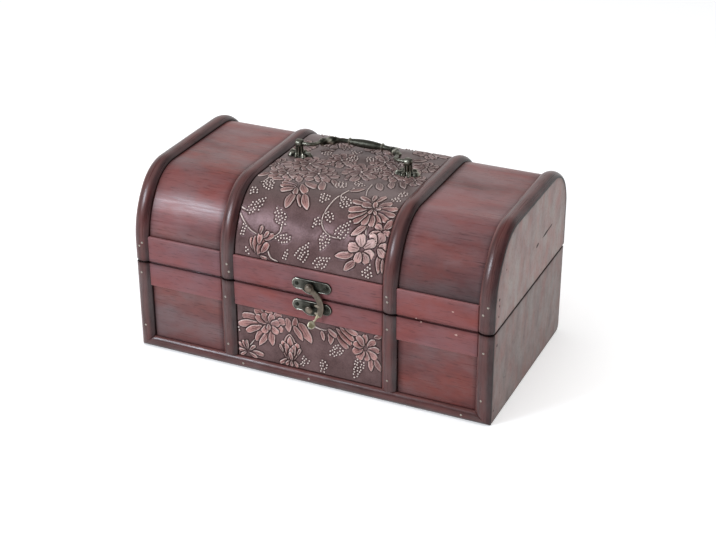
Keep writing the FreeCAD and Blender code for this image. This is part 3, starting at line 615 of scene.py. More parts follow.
def filledPiece(name, outline, body, slot, material, joint):
    # a board filled inside its outline; joint is the strength of the dark line round its faces, a dark joint
    # with painted shade in the gaps beside it, which fades in from the edge and out again by an exponential,
    # and is broken up by the product of two sines; the split is darkened as painted shade
    rings, inset = faceRings(outline, *extent(name, axisX), endBoard["edge"])
    x, y, z = np.moveaxis(rings, 2, 0)
    inset = inset[:, None]
    broken = 0.6 + 0.4 * np.sin(z * 0.9) * np.sin(z * 0.37 + y * 0.5)
    line = (endBoard["line"] * np.exp(-inset / endBoard["lineReach"]) * broken
            + endBoard["soft"] * np.exp(-inset / endBoard["softReach"]))
    border = joint * ease(inset / endBoard["lineStart"]) * line
    stain = np.maximum(border, splitStain(z, halfWidth - np.abs(x)))
    piece(f"{name}_wood", [tube(rings, stain=stain)], body, slot, material, name)


for side in ("left", "right"):
    filledPiece(f"base_{side}_end", baseOutline(frontFace), "base", "end_wood", baseEndWood, 1)
backOutline = baseOutline(extent("base_back_panel", axisY)[0])
filledPiece("base_back_panel", backOutline, "base", "panel_wood", panelWood, 0)
print("base boards ready")


# Boards of the lid; the shares of painted shade and painted sheen fade out over the reaches in mm, up from
# the band

lidBoard = {"edge": 0.35, "step": 2.5, "thickness": 4.0, "uneven": 0.72, "cloud": 0.48, "cloudReach": 19,
            "line": 0.85, "lineReach": 0.8, "faded": 0.35, "fadedReach": 22,
            "bleached": 0.5, "bleachedUp": 30, "bleachedSlant": 0.17, "bleachedHalf": 11}
hair = 1e-6                                                                  # mm


def lidPanel(part):
    # a stretch of the dome between its joints, carried along X; its foot is rounded, its joints are flush
    name = f"lid_{part}_panel"
    edge = lidBoard["edge"]
    place, normal, run = domePath(0, lidBoard["step"])
    inner = domePath(-lidBoard["thickness"], lidBoard["step"])[0]
    y, z = place.T
    halfRun = run.max() / 2
    keep = {"front": (y <= frontJoint + hair) & (run < halfRun),
            "top": (y >= frontJoint - hair) & (y <= backJoint + hair) & (z > lidTop - hair),
            "back": (y >= backJoint - hair) & (run > halfRun)}[part]
    fine = fineEnds(run[keep][0], run[keep][-1], edge, lidBoard["step"])
    place, normal, inner = (atRun(fine, run[keep], line[keep]) for line in (place, normal, inner))
    foot = {"front": fine - fine[0], "top": np.full(len(fine), edge), "back": fine[-1] - fine}[part]
    outer = place - normal * roundDrop(foot, edge)[:, None]
    x = fineEnds(*extent(name, axisX), edge, board["step"])
    over, under = (withX(x, np.broadcast_to(line[:, None], (len(fine), len(x), 2)))
                   for line in (outer, inner))
    beside = board["stain"] * jointStain(x, ribHalf, board["stainReach"])
    overBand = np.clip(place[:, 1] - extent("lid_band_left", axisZ)[1], 0, None)[:, None]
    onFront = (place[:, 0] < 0)[:, None]
    uneven = lidBoard["uneven"] * (1 + x / halfWidth)                         # the painted shade and sheen grow towards the right
    # painted shade low on the front of the dome (cloud), and a thin painted shadow line along the top of the
    # band (line)
    cloud = lidBoard["cloud"] * np.exp(-overBand / lidBoard["cloudReach"]) * uneven
    line = lidBoard["line"] * np.exp(-overBand / lidBoard["lineReach"])
    stain = np.maximum(beside, np.maximum(cloud, line) * onFront)
    # a painted grey sheen low on the front of the dome
    faded = lidBoard["faded"] * np.exp(-overBand / lidBoard["fadedReach"]) * uneven * onFront
    # a painted highlight: a pale band across the front of the dome
    bleachedLine = lidBoard["bleachedUp"] + lidBoard["bleachedSlant"] * x     # it slants up to the right
    bleached = lidBoard["bleached"] * bell(overBand - bleachedLine, lidBoard["bleachedHalf"]) * onFront
    shell = slab(over, under, stain=stain, faded=faded, wear=bleached)
    piece(f"{name}_wood", [shell], "lid", "panel_wood", panelWood, name)


for part in ("front", "top", "back"):
    lidPanel(part)
lidOutline = domePath(0, endBoard["lidStep"])[0]
lidOutline = np.concatenate([lidOutline, np.linspace(lidOutline[-1], lidOutline[0], 40)[1:-1]])
for side in ("left", "right"):
    filledPiece(f"lid_{side}_end", lidOutline, "lid", "end_wood", lidEndWood, 1)
print("lid boards ready")


# Ribs, foot moulding and bands

rib = {"shoulder": 1.0, "sink": 0.3, "soften": 0.7, "steps": 17, "arcShare": 0.93, "step": 2.2,
       "baseStep": 3.0, "endRound": 0.5, "drawnIn": 0.06, "rightStain": 0.95, "leftStain": 0.8,
       "leftWear": 0.8, "crownWear": 0.45, "underside": 0.8, "leanIn": 0.985, "leanUp": 0.45,
       "mouldEnd": 0.004, "mouldStep": 0.02}


def ribSection(half):
    # a half-round strip: straight shoulders, then one arc over the crown; across and height in mm
    radius = arcRadius(half, ribCrown - rib["shoulder"])
    lean = math.asin(half / radius)
    turn = np.linspace(-lean, lean, rib["steps"]) * rib["arcShare"]
    top = np.stack([radius * np.sin(turn), ribCrown - radius * (1 - np.cos(turn))], 1)
    low = rib["shoulder"] - rib["soften"]
    left = [[-half * rib["underside"], -rib["sink"]], [-half, -rib["sink"]], [-half, low],
            [-half * rib["leanIn"], low + rib["leanUp"]]]
    right = [[-across, height] for across, height in left[::-1]]
    return np.concatenate([left, top, right])


def ribLayers(section, rings, run, across):
    # stain at the split, painted shade there, and low on the flanks, where painted shade reaches higher up
    # the right flank, away from the light; wear with a painted highlight on the crown, and a painted
    # highlight with some wear half way up the left flank, which faces the light; and the run and the place
    # across in metres; share is the height over the crown's
    share = np.clip(section[:, 1] / ribCrown, 0, 1)
    flank = np.where(section[:, 0] > 0, rib["rightStain"] * (1 - ease((share - 0.08) / 0.42)),
                     rib["leftStain"] * (1 - ease(share / 0.18)))
    edge = np.where(section[:, 0] < 0, rib["leftWear"] * bell(share - 0.5, 0.3), 0)
    wear = np.maximum(rib["crownWear"] * ease((share - 0.75) / 0.25), edge)
    return {"stain": np.maximum(flank, splitStain(rings[..., 2], 0)), "wear": wear,
            "run": run[:, None] * mm, "across": (across + section[:, 0]) * mm}


def endSize(run, soft):
    # the share of full size near both ends of a run: drawn in a little, as a sanded end is
    gap = np.minimum(run - run[0], run[-1] - run)
    return 1 - rib["drawnIn"] * (1 - ease(gap / soft))


def ribPiece(name, section, rings, run, across):
    # a strip of rib wood with the layers of its section, on the body that its name starts with
    layers = ribLayers(section, rings, run, across)
    piece(f"{name}_wood", [tube(rings, **layers)], name.split("_")[0], "rib_wood", ribWood, name)


def lidRib(name, centre):
    # the half-round section carried along the dome, square to it
    section = ribSection(ribHalf)
    place, normal, run = domePath(0, rib["step"])
    fine = fineEnds(run[0], run[-1], rib["endRound"], rib["step"])
    place, normal = (atRun(fine, run, line) for line in (place, normal))
    size = endSize(fine, rib["endRound"])[:, None]
    flat = place[:, None] + normal[:, None] * (section[:, 1] * size)[..., None]
    ribPiece(name, section, withX(centre + section[:, 0] * size, flat), lidFoot + fine, centre)


def baseRib(name, centre, slope):
    # the same section carried straight down the front; slope is the rise of its foot, where it is mitred
    section = ribSection(ribHalf)
    foot, top = extent(name, axisZ)
    foot = foot + slope * np.clip(halfWidth - np.abs(centre + section[:, 0]), 0, None)
    share = fineEnds(0, 1, rib["endRound"] / top, rib["baseStep"] / top)
    size = endSize(share * top, rib["endRound"])[:, None]
    height = foot + (top - foot) * share[:, None]
    rings = np.stack([centre + section[:, 0] * size, frontFace - section[:, 1] * size, height], 2)
    ribPiece(name, section, rings, height.mean(1), centre)


def footMoulding(name):
    # a half-round strip laid along the foot, its ends cut to the mitres of the end ribs
    section = ribSection(mouldHeight / 2)
    up = section[:, 0] + mouldHeight / 2
    reach = halfWidth - up * (2 * ribHalf) / mouldHeight
    share = fineEnds(-1, 1, rib["mouldEnd"], rib["mouldStep"])[:, None]
    size = endSize(share * halfWidth, rib["endRound"])
    out = frontFace - section[:, 1] * size
    rings = np.stack([share * reach, out, np.broadcast_to(up, out.shape)], 2)
    ribPiece(name, section * (-1, 1), rings, share[:, 0] * halfWidth, 2 * halfWidth)          # darkest below: the turned section puts the painted shade under the moulding and the painted highlight along its top


for name, centre in zip(ribNames, ribCentres):
    lidRib(f"lid_rib_{name}", centre)
    baseRib(f"base_rib_{name}", centre, mouldHeight / (2 * ribHalf) if name.startswith("end") else 0)
footMoulding("base_foot_moulding")

# tuck is how far a band goes under the ribs, in mm
band = {"edge": 0.55, "step": 2.0, "tuck": 0.7, "stain": 0.7, "stainReach": 0.45, "wear": 0.5,
        "wearReach": 0.6, "wornFrom": 0.5}


def bandPiece(name, body):
    # a rounded strip whose ends go a little under the ribs; its free edge is worn pale
    low, high = span(name)
    tuck = np.array([band["tuck"], 0, 0])
    rings = boxRings(low - tuck, high + tuck, band["edge"], band["step"])
    x, y, z = np.moveaxis(rings, 2, 0)
    joint = band["stain"] * jointStain(x, ribHalf - band["tuck"], band["stainReach"])
    # dark at its ends by the ribs, and painted shade in the split
    stain = np.maximum(joint, splitStain(z, y - low[1]))
    free = low[2] if body == "base" else high[2]
    wear = band["wear"] * np.exp(-np.abs(z - free) / band["wearReach"]) * (y < frontFace - band["wornFrom"])
    shell = tube(rings, stain=stain, wear=wear, faded=fadedShare(x))
    piece(f"{name}_wood", [shell], body, "panel_wood", bandWood, name)


for body in ("base", "lid"):
    for bay in ("left", "centre", "right"):
        bandPiece(f"{body}_band_{bay}", body)
print("ribs, moulding and bands ready")


# Embossed leather: motifs stamped into a height field, with layers for copper, cream and dark grooves; in mm

emboss = {"spacing": 0.31, "groove": 0.8, "grooveDepth": 0.26, "edge": 0.3, "relief": 0.55, "rim": 0.4,
          "rimWidth": 0.28, "bead": 0.73, "berryGap": 2.1, "stem": 0.66, "stemTaper": 0.3, "vein": 0.24,
          "sideVein": 0.2, "sideVeinsFrom": 4.3, "margin": 2, "swell": 0.55, "petalBlunt": 0.3,
          "leafBlunt": 0.7, "profileStep": 0.5}
embossLayers = ("copper", "cream", "groove")


def newField(width, length):
    # an even grid of u across and v along the skin, with each point's gap to the border and empty layers
    across = np.linspace(-width / 2, width / 2, round(width / emboss["spacing"]) + 1)
    along = np.linspace(0, length, round(length / emboss["spacing"]) + 1)
    v, u = np.meshgrid(along, across, indexing="ij")
    gap = np.minimum(np.minimum(u + width / 2, width / 2 - u), np.minimum(v, length - v))
    return {"u": u, "v": v, "gap": gap, **{key: np.zeros_like(u) for key in ("height", *embossLayers)}}


def windowOf(field, low, high):
    # the part of the grid between two corners, with a margin
    low, high = np.subtract(low, emboss["margin"]), np.add(high, emboss["margin"])
    columns = np.searchsorted(field["u"][0], (low[0], high[0]))
    rows = np.searchsorted(field["v"][:, 0], (low[1], high[1]))
    return slice(*rows), slice(*columns)


def stamp(field, window, inside, relief, copper, cream, dark=0, cutShare=1):
    # one raised shape over what is there: inside is the depth past its outline, with a groove cut round it
    cover = ease((inside - 0.12 * cutShare) / emboss["edge"])
    trench = cutShare * ease(1.15 + inside / emboss["groove"])
    for key, cut, raised in (("height", -emboss["grooveDepth"], relief), ("copper", 0, copper),
                             ("cream", 0, cream), ("groove", 1, dark)):
        layer = field[key]
        layer[window] = blendTo(blendTo(layer[window], cut, trench), raised, cover)


def petal(field, root, tip, width, blunt=emboss["petalBlunt"]):
    # a petal or leaf: its half width is p^swell (1 - p)^blunt along its length, scaled to its own highest; it
    # is pillowed, with dark veins and a pale rim
    root, way = np.array(root, float), np.subtract(tip, root)
    length = np.linalg.norm(way)
    way = way / length
    window = windowOf(field, root - length, root + length)
    du, dv = field["u"][window] - root[0], field["v"][window] - root[1]
    p = (du * way[0] + dv * way[1]) / length
    q = dv * way[0] - du * way[1]
    held = np.clip(p, 0, 1)
    swell = emboss["swell"]
    crest = swell / (swell + blunt)
    shape = held ** swell * (1 - held) ** blunt / (crest ** swell * (1 - crest) ** blunt)
    wave = 1 + 0.07 * np.sin(held * 9 + root[0]) * np.sign(q)
    inside = width / 2 * shape * wave - np.abs(q) - length * np.abs(p - held)
    vein = bell(q, emboss["vein"]) * ease((0.78 - p) * 5) * ease((p - 0.06) * 9)
    if width > emboss["sideVeinsFrom"]:
        side = np.abs(np.abs(q) - 0.24 * width * shape)
        sideVein = 0.8 * bell(side, emboss["sideVein"]) * ease((0.7 - p) * 5) * ease((p - 0.3) * 9)
        vein = np.maximum(vein, sideVein)
    pillow = ease(inside / (0.42 * width))
    relief = emboss["relief"] * (0.6 + 0.4 * pillow - 0.5 * vein)
    rim = bell(inside - emboss["rim"], emboss["rimWidth"])
    waxed = (0.8 + 0.2 * math.sin(root[0] * 3.1 + root[1] * 1.7 + length)) * (0.5 + 0.5 * held)
    stamp(field, window, inside, relief, waxed, 0.95 * rim * (0.45 + 0.55 * held), 0.85 * vein)


def insideDots(field, places, radii):
    # how deep each point of the grid lies inside the nearest of many round dots, and the window worked in
    window = windowOf(field, places.min(0), places.max(0))
    du, dv = (field[key][window][..., None] - places[:, k] for k, key in enumerate("uv"))
    return window, (radii - np.hypot(du, dv)).max(-1)


def beads(field, places, radius):
    # round beads, a little higher in the middle
    window, inside = insideDots(field, np.atleast_2d(places), radius)
    stamp(field, window, inside, emboss["relief"] * (0.7 + 0.7 * np.clip(inside, 0, 0.6)), 0.5, 1, 0, 0.5)


def bunch(field, tip, angle, rows):
    # berries in a bunch: rows of beads from its tip, with a little scatter
    way = circle(math.radians(angle))
    side = np.array([-way[1], way[0]])
    gap = emboss["berryGap"]
    places = []
    for row, count in enumerate(rows):
        for k in range(count):
            scatter = 0.26 * np.sin([7.1 * row + 3.7 * k, 5.3 * row + 9.1 * k + 1])
            places.append(tip + way * row * gap * 0.9 + side * (k - (count - 1) / 2) * gap + scatter)
    beads(field, places, emboss["bead"])


def tendril(field, knots):
    # a stem: a smooth line through its knots, cubic between each pair, thinning towards its end
    knots = np.array(knots, float)
    padded = np.concatenate([[2 * knots[0] - knots[1]], knots, [2 * knots[-1] - knots[-2]]])
    t = np.linspace(0, 1, 16, endpoint=False)[:, None]
    line = []
    for a, b, c, d in zip(padded, padded[1:], padded[2:], padded[3:]):
        line.append(0.5 * (2 * b + (c - a) * t + (2 * a - 5 * b + 4 * c - d) * t ** 2
                           + (3 * b - a - 3 * c + d) * t ** 3))
    line = np.concatenate([*line, knots[-1:]])
    half = emboss["stem"] * np.linspace(1, 1 - emboss["stemTaper"], len(line))
    window, inside = insideDots(field, line, half)
    stamp(field, window, inside, emboss["relief"] * 0.85, 0.4, 0.85, 0, 0.6)


def flower(field, centre, radius, count, width, start, inner):
    # petals round a centre, some a little longer; inner adds a second smaller ring on top, then a small eye
    for ring, (size, petals) in enumerate(((1.0, count), (0.62, inner))):
        for k in range(petals):
            angle = start + 360 * (k + 0.5 * ring + 0.16 * math.sin(3.3 * k + centre[1])) / petals
            away = circle(math.radians(angle))
            reach = radius * size * (1 - 0.1 * (k % 2) - 0.09 * math.sin(5.1 * k + centre[0]))
            root = centre + away * radius * (0.16 - 0.08 * ring)
            petal(field, root, centre + away * reach, width * (1 - 0.2 * ring))
    beads(field, centre, 0.08 * radius)


def stampAll(field, stems, leaves, petals, flowers, bunches):
    # stems first, then leaves, flowers, single petals and berries over them
    for knots in stems:
        tendril(field, knots)
    for root, tip, width in leaves:
        petal(field, root, tip, width, emboss["leafBlunt"])
    for centre, *shape in flowers:
        flower(field, np.array(centre, float), *shape)
    for root, tip, width in petals:
        petal(field, root, tip, width)
    for tip, angle, rows in bunches:
        bunch(field, np.array(tip, float), angle, rows)


skinLow, skinHigh = span("lid_leather_panel")
skinTop = skinHigh[2]
skinLift = skinTop - lidTop
skinLine, skinNormal, skinRun = domePath(skinLift, emboss["profileStep"])
straightPoints, backPoints = 60, 80                          # those that lie on the front and the back foot
skinStart = np.interp(skinLow[2], skinLine[:straightPoints, 1], skinRun[:straightPoints])
skinEnd = np.interp(-skinLow[2], -skinLine[-backPoints:, 1], skinRun[-backPoints:])
lidField = newField(skinHigh[0] - skinLow[0], skinEnd - skinStart)

# where the motifs lie, across from the middle and up from the lower edge: stems by their knots, leaves and
# petals by root, tip and width, flowers by centre, radius, petals, width, turn and inner petals, berries by
# tip, turn and rows
lidStems = (
    [(14, 61), (11, 53), (8, 46.5), (5.6, 38), (4.8, 31.5), (6.2, 27.4), (9.6, 24), (14, 22.3), (18.6, 22.2)],
    [(21.6, 70), (22.6, 61), (26.4, 50)], [(-48.6, 29.6), (-45.4, 28.4), (-42, 28.3)],
    [(-48.6, 25.4), (-44.4, 20.6), (-40, 17), (-35, 15)], [(-19.8, 23), (-20.3, 19), (-24, 15.2)],
    [(-27, 7), (-24.4, 2.4), (-20, 0.9)], [(10.4, 50), (11.6, 46.5)],
    [(33.6, 34), (34.2, 29), (35.6, 26)], [(-44.6, 60), (-41, 54), (-43.4, 49)],
    [(-46, 96), (-43, 104), (-36, 109)], [(-8, 124), (-4, 132), (-10, 141)],
    [(30, 126), (24, 133), (24, 143), (30, 151)], [(-40, 130), (-45, 140), (-42, 152)],
    [(4, 152), (10, 160), (20, 162)])
lidLeaves = (
    ((-19, 45.4), (-20.6, 33.8), 6.0), ((-15.8, 45.2), (-11, 36.2), 3.8),
    ((-12.6, 45.8), (-6.2, 35.2), 5.4), ((29.4, 14.6), (17.2, 11.4), 5.0), ((30.8, 11), (24, 3.8), 5.0),
    ((33.4, 32.6), (25.2, 25.2), 4.6), ((45.2, 17.4), (46.2, 5.6), 3.8), ((48, 15.4), (48.7, 6.2), 2.6),
    ((13.2, 56), (20.4, 62.6), 4.2), ((24, 74.4), (30, 64.6), 5.4), ((31, 79), (34.4, 69.6), 5.0),
    ((36, 82), (42, 73), 4.6), ((2, 71), (10, 76), 4.6), ((-43, 62), (-48.4, 54), 4.6),
    ((-2, 92), (-9, 97), 5.0), ((-36, 92), (-44, 98), 5.0), ((33, 100), (43, 97), 4.6),
    ((-30, 106), (-22, 110), 4.6), ((-36, 108), (-40, 117), 4.8), ((16, 116), (14, 126), 4.8),
    ((29, 114), (38, 119), 4.6), ((-10, 141), (-2, 145), 4.8), ((24, 143), (15, 147), 4.6),
    ((-45, 140), (-36, 142), 4.4), ((-42, 152), (-47, 162), 4.2), ((20, 162), (22, 172), 4.6))
lidFlowers = (
    ((-33, 65), 12, 10, 6.0, 10, 6), ((-15, 72), 13, 11, 6.2, 0, 7), ((-27, 84), 12, 10, 6.0, 20, 6),
    ((8, 85), 13.5, 11, 6.4, 14, 7), ((-45, 76), 9, 8, 5.4, 0, 0), ((27, 90), 11, 10, 5.6, 5, 6),
    ((-11, 97), 11, 10, 5.6, 0, 6), ((43, 87), 8, 8, 5.0, 12, 0), ((15, 105), 11, 10, 5.4, 0, 6),
    ((-44, 108), 9, 9, 5.0, 0, 0), ((42, 108), 9, 9, 5.0, 8, 0), ((-24, 124), 12, 11, 5.6, 5, 7),
    ((4, 124), 11, 10, 5.4, 0, 6), ((36, 132), 12, 11, 5.4, 8, 6), ((-20, 152), 12, 11, 5.8, 3, 7),
    ((9, 148), 9, 8, 5.2, 10, 0), ((36, 161), 12, 11, 5.4, 0, 7), ((-4, 172), 9, 9, 4.8, 0, 0),
    ((-42, 172), 8, 8, 4.8, 0, 0))
dahlia = (
    ((29, 47), (18.6, 47.4), 4.2), ((32, 48.6), (22.4, 52.6), 3.8), ((31, 50), (30.4, 56.6), 3.4),
    ((33.4, 49.6), (36.6, 57.6), 3.8), ((36, 47), (43.4, 51.6), 4.6), ((37, 45), (48.6, 47.4), 4.4),
    ((37, 43.4), (48.8, 42), 4.2), ((36.6, 42), (46, 37.4), 4.4), ((35.6, 41.4), (42, 33.4), 4.6),
    ((34.6, 41.4), (36.6, 32.6), 4.8), ((33, 41.4), (31, 32.6), 4.6), ((32, 41.6), (24.8, 33.2), 4.8),
    ((31, 42.4), (20.4, 36), 4.6), ((30.8, 44), (19, 40.6), 5.0), ((33, 45.6), (25.6, 47), 5.0),
    ((35, 44.6), (33, 49.8), 3.6), ((34.4, 44.2), (38.6, 45.4), 2.6), ((34.2, 43.8), (37, 40.6), 2.6),
    ((33.8, 43.8), (32, 40.4), 2.6))
blossoms = (
    ((44.8, 32.2), (48.8, 38.4), 5.0), ((44, 32), (39, 34.4), 4.2), ((44.6, 31), (49, 30), 4.4),
    ((43.4, 31), (36.8, 27), 4.4), ((43.4, 22.4), (45, 30), 6.6), ((44, 21.6), (49.2, 22.6), 5.2),
    ((42.4, 22.6), (38, 28.4), 5.0), ((43.6, 20.6), (49, 16.6), 5.0), ((32.6, 18.6), (25, 18.8), 6.6),
    ((35, 19.4), (41.4, 24.6), 6.0), ((33.6, 19.6), (31.4, 27), 6.8), ((35.4, 17.6), (42, 15.4), 6.2),
    ((34.8, 16.8), (38.8, 10.8), 5.6), ((33.4, 16.8), (31.6, 10.2), 5.8))
fan = (
    ((-20, 52), (-30.6, 53), 4.0), ((-20, 50.6), (-30.4, 49.6), 4.0), ((-20, 49.4), (-28.4, 45.4), 4.2),
    ((-18, 54), (-12, 46.6), 5.4), ((-17.4, 57), (-7.6, 53.4), 5.4), ((-19.6, 50), (-18, 44.4), 4.0),
    ((-20.6, 56), (-24, 62), 5.0), ((-8, 63), (-3.6, 52), 5.2), ((-4, 68), (3.4, 60), 4.6),
    ((-31, 56), (-38.6, 55), 4.4))
bud = (
    ((-35, 3.4), (-38.6, 12.6), 4.2), ((-34.4, 3), (-35.4, 14), 5.0), ((-33.6, 2.6), (-29.6, 13.6), 5.4),
    ((-31, 4), (-26.8, 11), 4.4), ((-33, 9), (-32.8, 16), 4.2), ((-33, 15.4), (-32.4, 20.8), 2.8),
    ((-29.6, 12.4), (-23.8, 16.8), 4.0), ((-30.4, 13.6), (-27.6, 18), 3.0), ((-32, 2), (-27, 1), 3.0))
lidBunches = (
    ((-35.2, 37.8), 231, (1, 2, 3, 3, 4, 3, 3, 2)), ((-25.8, 32.8), 308, (1, 3, 3, 4, 4, 3, 2)),
    ((-22.4, 14.6), 12, (1, 2, 3, 3, 3, 2)), ((-0.4, 15.6), 244, (1, 2, 3, 4, 4, 4, 4)),
    ((-13.6, 9), 252, (1, 2, 2, 2)), ((-44, 19), 258, (2, 2, 2, 2)), ((6.8, 36), 316, (2, 3, 3, 2)),
    ((22.8, 33.2), 242, (1, 2, 3, 4, 4, 4, 3)), ((10, 22.6), 258, (3, 4, 4, 3, 2, 1)),
    ((14.4, 9.2), 212, (1, 2, 3, 4, 4, 3, 2)), ((40.6, 10.2), 254, (1, 2, 3, 4, 3)),
    ((13, 49), 300, (2, 3, 4, 4, 3)), ((3, 31.2), 240, (2, 3, 2, 1)), ((-1, 48.4), 310, (2, 3, 4, 3)),
    ((-40, 51), 310, (3, 4, 4, 3, 2)), ((-45.6, 43.6), 290, (2, 3, 3)), ((3, 66), 290, (2, 4, 4, 4, 3)),
    ((13, 66), 60, (3, 4, 4)), ((44, 62), 80, (2, 3, 3, 2)), ((42, 55), 40, (2, 3, 3)),
    ((-41.6, 5.6), 300, (1, 2, 1)), ((18, 135), 80, (2, 3, 4, 3)), ((-8, 110), 100, (2, 3, 4)),
    ((10, 166), 95, (2, 3, 4, 3)), ((-30, 168), 80, (2, 3, 3)), ((45, 146), 90, (1, 2, 2, 1)),
    ((-36, 134), 90, (2, 3, 2)), ((-5.4, 106), 262, (2, 3, 4, 4, 3)), ((3, 108), 300, (2, 3, 3, 3)),
    ((-22, 104), 200, (2, 3, 3, 2)), ((26, 104), 80, (2, 3, 3, 2)), ((-16, 114), 120, (2, 3, 3)),
    ((-32, 114), 60, (2, 3, 2)), ((14, 92), 20, (2, 3, 2)))
stampAll(lidField, lidStems, lidLeaves, fan + dahlia + blossoms + bud, lidFlowers, lidBunches)

# the copper and cream thin out towards the flat top, painted to stand for the grey sheen seen there at a
# glancing angle, and the low blossom gets a painted highlight of cream; places and widths in mm
waxing = {"fadeFrom": 46, "fadeOver": 30, "copperLoss": 0.62, "creamLoss": 0.4, "blossomU": 38, "spreadU": 13,
          "blossomV": 22, "spreadV": 10, "blossomCream": 0.5}
fade = ease((lidField["v"] - waxing["fadeFrom"]) / waxing["fadeOver"])
lidField["copper"] *= 1 - waxing["copperLoss"] * fade
lidField["cream"] *= 1 - waxing["creamLoss"] * fade
# a painted highlight of cream over the low blossom
onBlossom = bell(lidField["u"] - waxing["blossomU"], waxing["spreadU"]) * bell(
    lidField["v"] - waxing["blossomV"], waxing["spreadV"])
lidField["cream"] = np.maximum(lidField["cream"], waxing["blossomCream"] * onBlossom * lidField["copper"])

baseLow, baseHigh = span("base_leather_panel")
baseField = newField(baseHigh[0] - baseLow[0], baseHigh[2] - baseLow[2])
baseStems = (
    [(5.4, 32.4), (10, 31.6), (14.4, 32.4)], [(-43.8, 4), (-40, 10), (-37.6, 13.4)],
    [(-4, 5), (-6.4, 2.6)])
baseLeaves = (
    ((-12.6, 4), (-12.5, 23.6), 10.4), ((-12.5, 9), (-12.6, 22), 5.2),
    ((-29.4, 22.4), (-36.8, 13.2), 6.6), ((-27.6, 21), (-34.4, 10), 4.4),
    ((-25.4, 22.4), (-24.8, 12), 5.2), ((-14, 34.6), (-13, 24.4), 5.4), ((-8, 36), (-9.6, 28), 4.4),
    ((-6, 33), (2.6, 20.2), 7.0), ((-9.6, 30), (-3.4, 20.4), 4.6), ((9.4, 31), (10.9, 23.8), 3.2),
    ((15.6, 32), (15.4, 22.2), 4.6), ((42, 19.2), (42.4, 9.8), 4.2), ((45, 19.2), (48.8, 11.2), 4.4))
basePetals = (                                               # peony, bud, daisy, tulip and blossom
    ((-31, 29), (-45.4, 29.6), 6.2), ((-32, 26.4), (-48.4, 23), 5.6), ((-31.6, 25), (-43, 18.8), 5.0),
    ((-29, 31), (-36.4, 36.4), 6.6), ((-26.4, 31), (-27, 36.5), 6.4), ((-24, 31), (-18.6, 36.4), 6.0),
    ((-23, 29), (-15.6, 31.6), 5.8), ((-24, 26.4), (-17, 24.6), 5.4), ((-28.6, 27), (-36, 31.2), 5.6),
    ((-28, 28), (-30.6, 34.4), 5.2), ((-26.6, 28.4), (-24, 34.6), 5.2),
    ((-25.6, 27.4), (-19.4, 29.6), 5.2), ((-26, 26), (-20.6, 21.8), 5.0), ((-28, 26), (-31, 20), 5.0),
    ((-27, 27.4), (-27.2, 23), 3.6), ((-14.4, 5), (-17.6, 17.4), 4.6), ((-10.6, 5), (-7.2, 17.8), 4.6),
    ((-13.6, 5.6), (-15.2, 16.4), 3.8), ((-11.4, 5.6), (-9.6, 16), 3.8),
    ((-14, 4.4), (-11.4, 13.4), 3.6), ((-11.6, 4.2), (-12.6, 10.6), 3.2), ((-15, 5.4), (-19.6, 1), 3.0),
    ((-9.8, 5), (-7.4, 0.8), 3.0), ((-13, 4.6), (-15.6, 0.8), 2.8), ((-12, 4.6), (-11.6, 0.6), 2.6),
    ((-17.4, 9), (-19.6, 14.6), 2.6), ((-7.6, 9), (-5.4, 14.6), 2.6), ((-43, 4.6), (-49, 9.6), 2.8),
    ((-43, 5), (-46, 11.6), 2.8), ((-42.4, 5), (-43, 12.4), 2.6), ((-41, 4.8), (-31, 4), 3.8),
    ((-41.6, 3.8), (-36, 0.6), 3.0), ((-43.6, 4), (-49, 4.6), 2.8), ((-43.4, 3.4), (-47.6, 0.6), 2.6),
    ((-41.6, 5), (-37, 9.6), 2.8), ((17, 33.4), (26.8, 22.2), 4.8), ((19, 35), (29.4, 25.4), 4.4),
    ((21.4, 36.4), (31, 29), 4.2), ((24.6, 36.4), (33.4, 33.4), 4.2), ((13.4, 33.4), (19.4, 28.6), 4.0),
    ((38.6, 26.6), (38.4, 35), 4.2), ((39.6, 26.2), (45, 32), 4.8), ((40, 25.2), (48, 25.6), 4.8),
    ((39.8, 24.2), (46, 19.4), 5.2), ((38.8, 23.6), (39.6, 16.8), 4.6),
    ((37.6, 23.8), (33.4, 16.6), 5.6), ((37, 24.6), (30.2, 21), 5.4), ((37, 25.6), (30.8, 27.4), 5.0),
    ((37.6, 26.4), (33.6, 33), 5.0), ((44, 34), (49, 36), 3.6))
baseBunches = (
    ((22, 21.6), 224, (3, 4, 4, 3, 3, 1)), ((35.4, 15.6), 252, (3, 4, 4, 3, 3, 2, 2, 1)),
    ((10.6, 9.6), 262, (2, 3, 3, 2, 2)), ((-1.4, 8.4), 238, (3, 3, 2, 2)), ((-48.4, 20), 280, (1, 1)))
stampAll(baseField, baseStems, baseLeaves, basePetals, (), baseBunches)

skin = {"flatten": 0.8, "curl": 0.3, "curlWidth": 0.6, "groove": 0.8, "grooveWidth": 0.9, "dust": 0.38,
        "dustFrom": 0.6}


